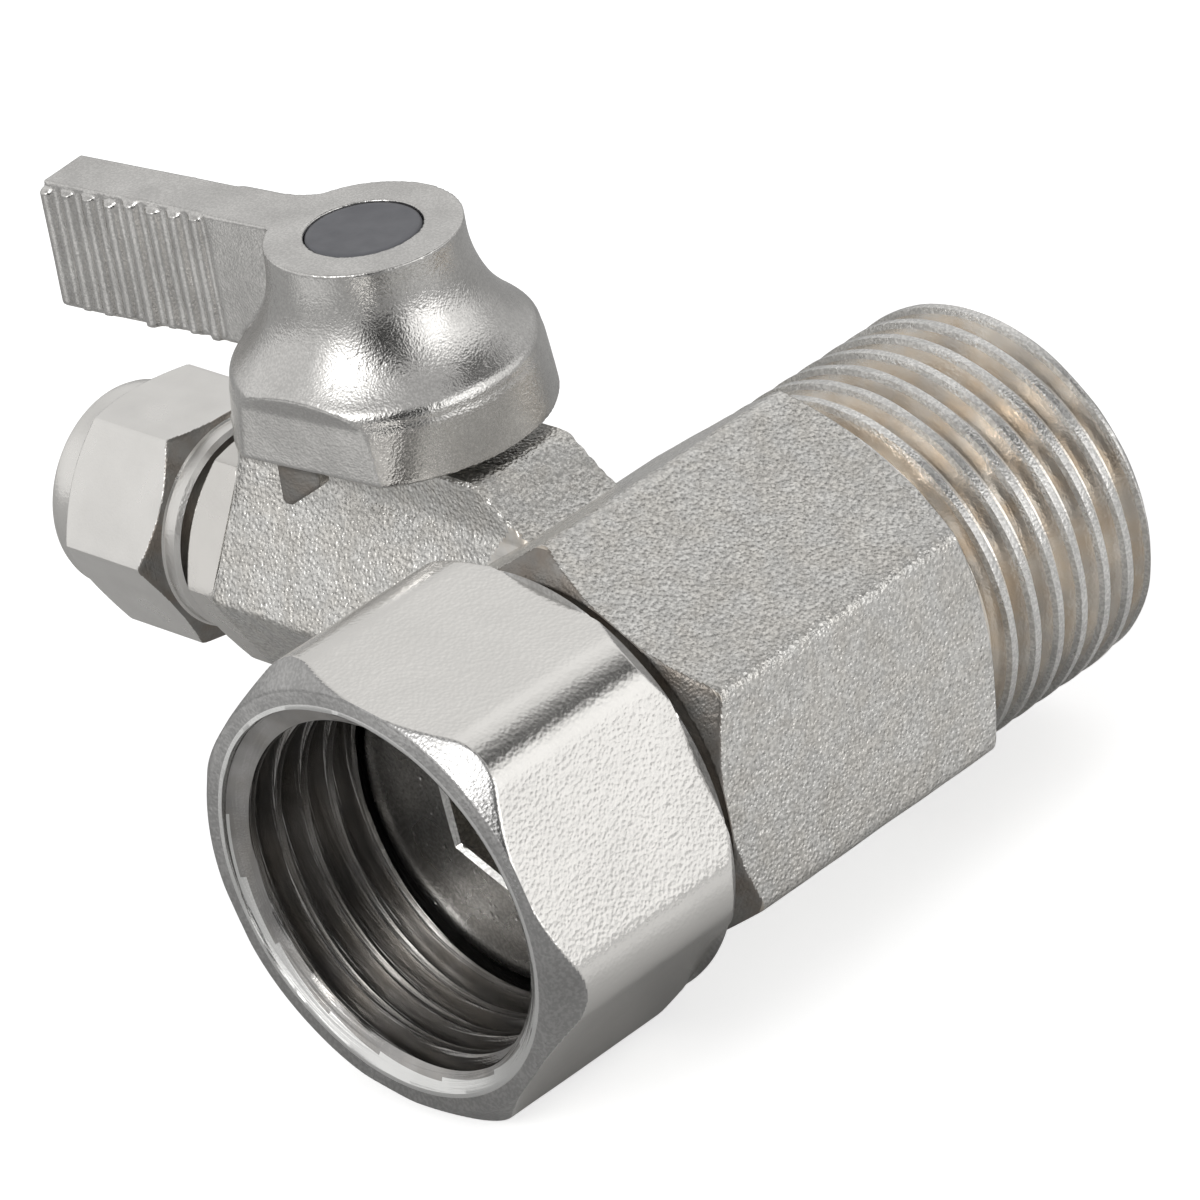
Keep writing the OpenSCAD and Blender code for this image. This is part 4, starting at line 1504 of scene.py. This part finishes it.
# A row of upright ribs along the lever, as a Geometry Nodes tree
def ribTree(material):
    tree = bpy.data.node_groups.new("lever ribs", "GeometryNodeTree")
    for name, kind, value in (
        ("Count", "NodeSocketInt", 8),
        ("First", "NodeSocketVector", (9.85, 1.57, 16.6)),
        ("Step", "NodeSocketVector", (1.45, 0, 0)),
        ("Radius", "NodeSocketFloat", 0.42),
        ("Height", "NodeSocketFloat", 6.9),
        ("Seed", "NodeSocketInt", 3),
    ):
        tree.interface.new_socket(name, in_out="INPUT", socket_type=kind).default_value = value
    tree.interface.new_socket("Geometry", in_out="OUTPUT", socket_type="NodeSocketGeometry")
    nodes, links = tree.nodes, tree.links
    sizes = nodes.new("NodeGroupInput")
    sizes.label = "sizes"
    row = nodes.new("GeometryNodeMeshLine")
    row.label = "feet of the ribs"
    rib = nodes.new("GeometryNodeMeshCylinder")
    rib.label = "one rib"
    sizeSpread = nodes.new("FunctionNodeRandomValue")
    sizeSpread.label = "cast ribs differ a little"
    placed = nodes.new("GeometryNodeInstanceOnPoints")
    placed.label = "ribs in a row"
    realized = nodes.new("GeometryNodeRealizeInstances")
    realized.label = "plain mesh"
    painted = nodes.new("GeometryNodeSetMaterial")
    painted.label = "cast finish"
    result = nodes.new("NodeGroupOutput")
    groups = (
        ("sizes", (sizes,)),
        ("one rib and its places", (row, rib, sizeSpread, placed)),
        ("mesh", (realized, painted, result)),
    )
    for line, (title, members) in enumerate(groups):
        box = nodes.new("NodeFrame")
        box.label = title
        for column, node in enumerate(members):
            node.parent = box
            node.location = (-600 + 210 * column, 500 - 330 * line)
    rib.inputs["Vertices"].default_value = 20
    sizeSpread.data_type = "FLOAT"
    sizeSpread.inputs[2].default_value = 0.94
    sizeSpread.inputs[3].default_value = 1.06
    painted.inputs["Material"].default_value = material
    links.new(sizes.outputs["Count"], row.inputs["Count"])
    links.new(sizes.outputs["First"], row.inputs["Start Location"])
    links.new(sizes.outputs["Step"], row.inputs["Offset"])
    links.new(sizes.outputs["Radius"], rib.inputs["Radius"])
    links.new(sizes.outputs["Height"], rib.inputs["Depth"])
    links.new(sizes.outputs["Seed"], sizeSpread.inputs["Seed"])
    links.new(row.outputs["Mesh"], placed.inputs["Points"])
    links.new(rib.outputs["Mesh"], placed.inputs["Instance"])
    links.new(sizeSpread.outputs[1], placed.inputs["Scale"])
    links.new(placed.outputs["Instances"], realized.inputs[0])
    links.new(realized.outputs[0], painted.inputs["Geometry"])
    links.new(painted.outputs[0], result.inputs[0])
    return tree


def makeHub(s):
    angles = columnAngles(s["columns"])
    outward = np.maximum(np.abs(np.sin(angles)), 1e-6)
    turn = math.radians(s["flareTurn"])
    flareX = s["hubRadius"] + s["flareRadius"]
    meetR = flareX - s["flareRadius"] * math.cos(turn)
    meetZ = s["flareTop"] - s["flareRadius"] * math.sin(turn)
    shoulderX = meetR - s["shoulderRadius"] * math.cos(turn)
    shoulderZ = meetZ - s["shoulderRadius"] * math.sin(turn)
    corners = [(s["bottom"], s["bottomRadius"]), (s["creaseHeight"], s["creaseRadius"])]
    corners += [
        (shoulderZ + s["shoulderRadius"] * math.sin(a), shoulderX + s["shoulderRadius"] * math.cos(a))
        for a in np.linspace(0, turn, 8)
    ]
    corners += [
        (s["flareTop"] - s["flareRadius"] * math.sin(a), flareX - s["flareRadius"] * math.cos(a))
        for a in np.linspace(turn, 0, 22)[1:]
    ]
    corners += [(s["top"], s["hubRadius"])]
    rings = [ring(angles, s["bottom"], 0.0)]
    for (h0, r0), (h1, r1) in zip(corners, corners[1:]):
        for share in np.arange(0, 1, min(1, 0.25 / max(0.01, math.hypot(h1 - h0, r1 - r0)))):
            height, radius = h0 + (h1 - h0) * share, r0 + (r1 - r0) * share
            lean = np.interp(height, (s["creaseHeight"] + 0.2, s["creaseHeight"] + 1.5), (0, 0.45))
            flat = (s["flat"] + lean) / outward if height < s["creaseHeight"] + 1.5 else np.full(angles.shape, 99.0)
            rings.append(ring(angles, height, softMin(radius, flat, 0.03)))
    rings += [ring(angles, s["top"], s["hubRadius"]), ring(angles, s["top"], 0.0)]
    mesh = meshFromRings("hub", rings, loop=False)
    weld(mesh)
    return mesh


# Upright wall round a closed outline, with flat ends; the bottom can stand off from the top
def prism(name, bottom, top):
    count = len(bottom)
    places = list(bottom) + list(top)
    faces = [tuple(reversed(range(count))), tuple(range(count, 2 * count))]
    faces += [(i, (i + 1) % count, count + (i + 1) % count, count + i) for i in range(count)]
    mesh = bpy.data.meshes.new(name)
    mesh.from_pydata(places, [], faces)
    return mesh


def makeLever(s):
    def sideOf(fillet):
        half, inner = s["leverHalf"], s["hubRadius"] - 0.2
        root = math.sqrt((inner + fillet) ** 2 - (half + fillet) ** 2)
        touch = root * inner / (inner + fillet)
        ribbed = s["ribFirst"] - s["ribPitch"] / 2
        curve = [(x, half + fillet - math.sqrt(fillet**2 - (root - x) ** 2)) for x in np.linspace(touch, root, 12)]
        return curve + [(ribbed, half), (ribbed + 0.3, s["ribbedHalf"]), (s["leverReach"], s["ribbedHalf"])]

    far, near = sideOf(s["leverFillet"]), sideOf(s["nearFillet"])
    outline = [(0, -0.5)] + [(x, -y) for x, y in far] + [(x, y) for x, y in reversed(near)] + [(0, 0.5)]

    def level(height, reach):
        return [(reach if x == s["leverReach"] else x, y, height) for x, y in outline]

    return prism(
        "lever", level(s["leverBottom"], s["leverReach"]), level(s["top"], s["leverReach"] - s["tipLean"]),
    )


def makeHandle(s):
    handle = objectFromMesh("handleShell", makeHub(s))
    combine(handle, makeLever(s), "UNION")
    tree = ribTree(finishes["handle"])
    height = s["top"] - s["leverBottom"] - 0.5
    for side in (-1, 1):
        ribs = meshFromTree(tree, {
            "Count": s["ribCount"],
            "First": (s["ribFirst"], side * (s["leverHalf"] - s["ribDepth"]), s["leverBottom"] + 0.15 + height / 2),
            "Step": (s["ribPitch"], 0, 0),
            "Radius": s["ribRadius"],
            "Height": height,
            "Seed": 5 + side,
        })
        combine(handle, ribs, "UNION")
    low, foot = s["bottom"] - s["lugDepth"], s["bottom"] + 0.3
    lug = [
        (s["lugTo"], foot), (s["lugTo"], low + 0.2), (s["lugTo"] - 0.4, low), (s["lugFrom"] - 0.1, s["bottom"] - 0.95),
        (s["lugFrom"] - 0.1, foot),
    ]
    outer, inner = s["flat"] - s["lugInset"], s["flat"] - s["lugInset"] - s["lugThickness"]
    lugMesh = prism("lug", [(x, inner, z) for x, z in lug], [(x, outer, z) for x, z in lug])
    work = bmesh.new()
    work.from_mesh(lugMesh)
    bmesh.ops.recalc_face_normals(work, faces=work.faces)
    work.to_mesh(lugMesh)
    work.free()
    combine(handle, lugMesh, "UNION")
    angles = columnAngles(120)
    hollow = lathe("hollow", angles, [
        (s["bottom"] - 1, 0.0), (s["bottom"] - 1, s["recessRadius"]), (s["recessTop"], s["recessRadius"]),
        (s["recessTop"], 0.0),
    ], 4.0, loop=False)
    combine(handle, hollow, "DIFFERENCE")
    pocket = lathe("pocket", angles, [
        (s["pocketFloor"], 0.0), (s["pocketFloor"], s["pocketRadius"]), (s["top"] + 1, s["pocketRadius"]),
        (s["top"] + 1, 0.0),
    ], 4.0, loop=False)
    combine(handle, pocket, "DIFFERENCE")
    half = s["squareHalf"]
    square = boxMesh((-half, -half, s["recessTop"] - 1), (half, half, s["pocketFloor"] + 1))
    combine(handle, turned(square, Matrix.Rotation(math.radians(-s["turn"]), 4, "Z")), "DIFFERENCE")

    remesh = handle.modifiers.new("soften", "REMESH")
    remesh.mode = "VOXEL"
    remesh.voxel_size = s["voxel"]
    smooth = handle.modifiers.new("smooth", "SMOOTH")
    smooth.factor = 0.5
    smooth.iterations = 1
    settle(handle)
    unevenness(handle.data, 3.0, 0.05, 5.0)
    # The lug under the skirt gets the dark finish: painted shade under the handle
    finishMesh(handle.data, "handle", (("paintedShade", lambda c, n: c[2] < s["bottom"] - 0.2),))
    turn = stemFrame @ Matrix.Rotation(math.radians(s["turn"]), 4, "Z")
    place(handle, turn, "lever", ["handle"], 180)


makeHandle(handleSizes)


# Cap: flat disc over the handle's screw
capSizes = {
    "columns": 96,
    "radius": 3.05,
    "bottom": float(lowHigh("handle_cap")[0].z),
    "top": float(lowHigh("handle_cap")[1].z),
}


def makeCap(s):
    angles = columnAngles(s["columns"])
    radius, top, bottom = s["radius"], s["top"], s["bottom"]
    mesh = lathe("cap", angles, [
        (bottom, 0.0), (bottom, radius - 0.15), (bottom + 0.15, radius), (top - 0.22, radius),
        (top - 0.07, radius - 0.05), (top, radius - 0.2), (top - 0.02, radius - 0.7), (top - 0.04, 0.0),
    ], 0.4, loop=False)
    cap = objectFromMesh("handleCapShell", mesh)
    finishMesh(cap.data, "cap")
    place(cap, stemFrame, "lever", ["handle_cap"], 50)


makeCap(capSizes)


# CAD nodes that stay: their material slots take the finishes
nodeFinishes = {
    "tail_oring": "rubber",
    "swivel_washer": "rubber",
    "connector_oring": "rubber",
    "stem_oring_lower": "rubber",
    "stem_oring_upper": "rubber",
    "seat_inner": "seal",
    "seat_outer": "seal",
    "stem_washer": "seal",
    "ball": "chrome",
    "stem": "brass",
    "handle_screw": "steel",
    "handle_screw_washer": "steel",
    "ferrule": "brassRing",
}
for nodeName, finish in nodeFinishes.items():
    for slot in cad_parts[nodeName].material_slots:
        slot.material = finishes[finish]
report("inner pieces finished")

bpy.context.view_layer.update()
report("sizes written")
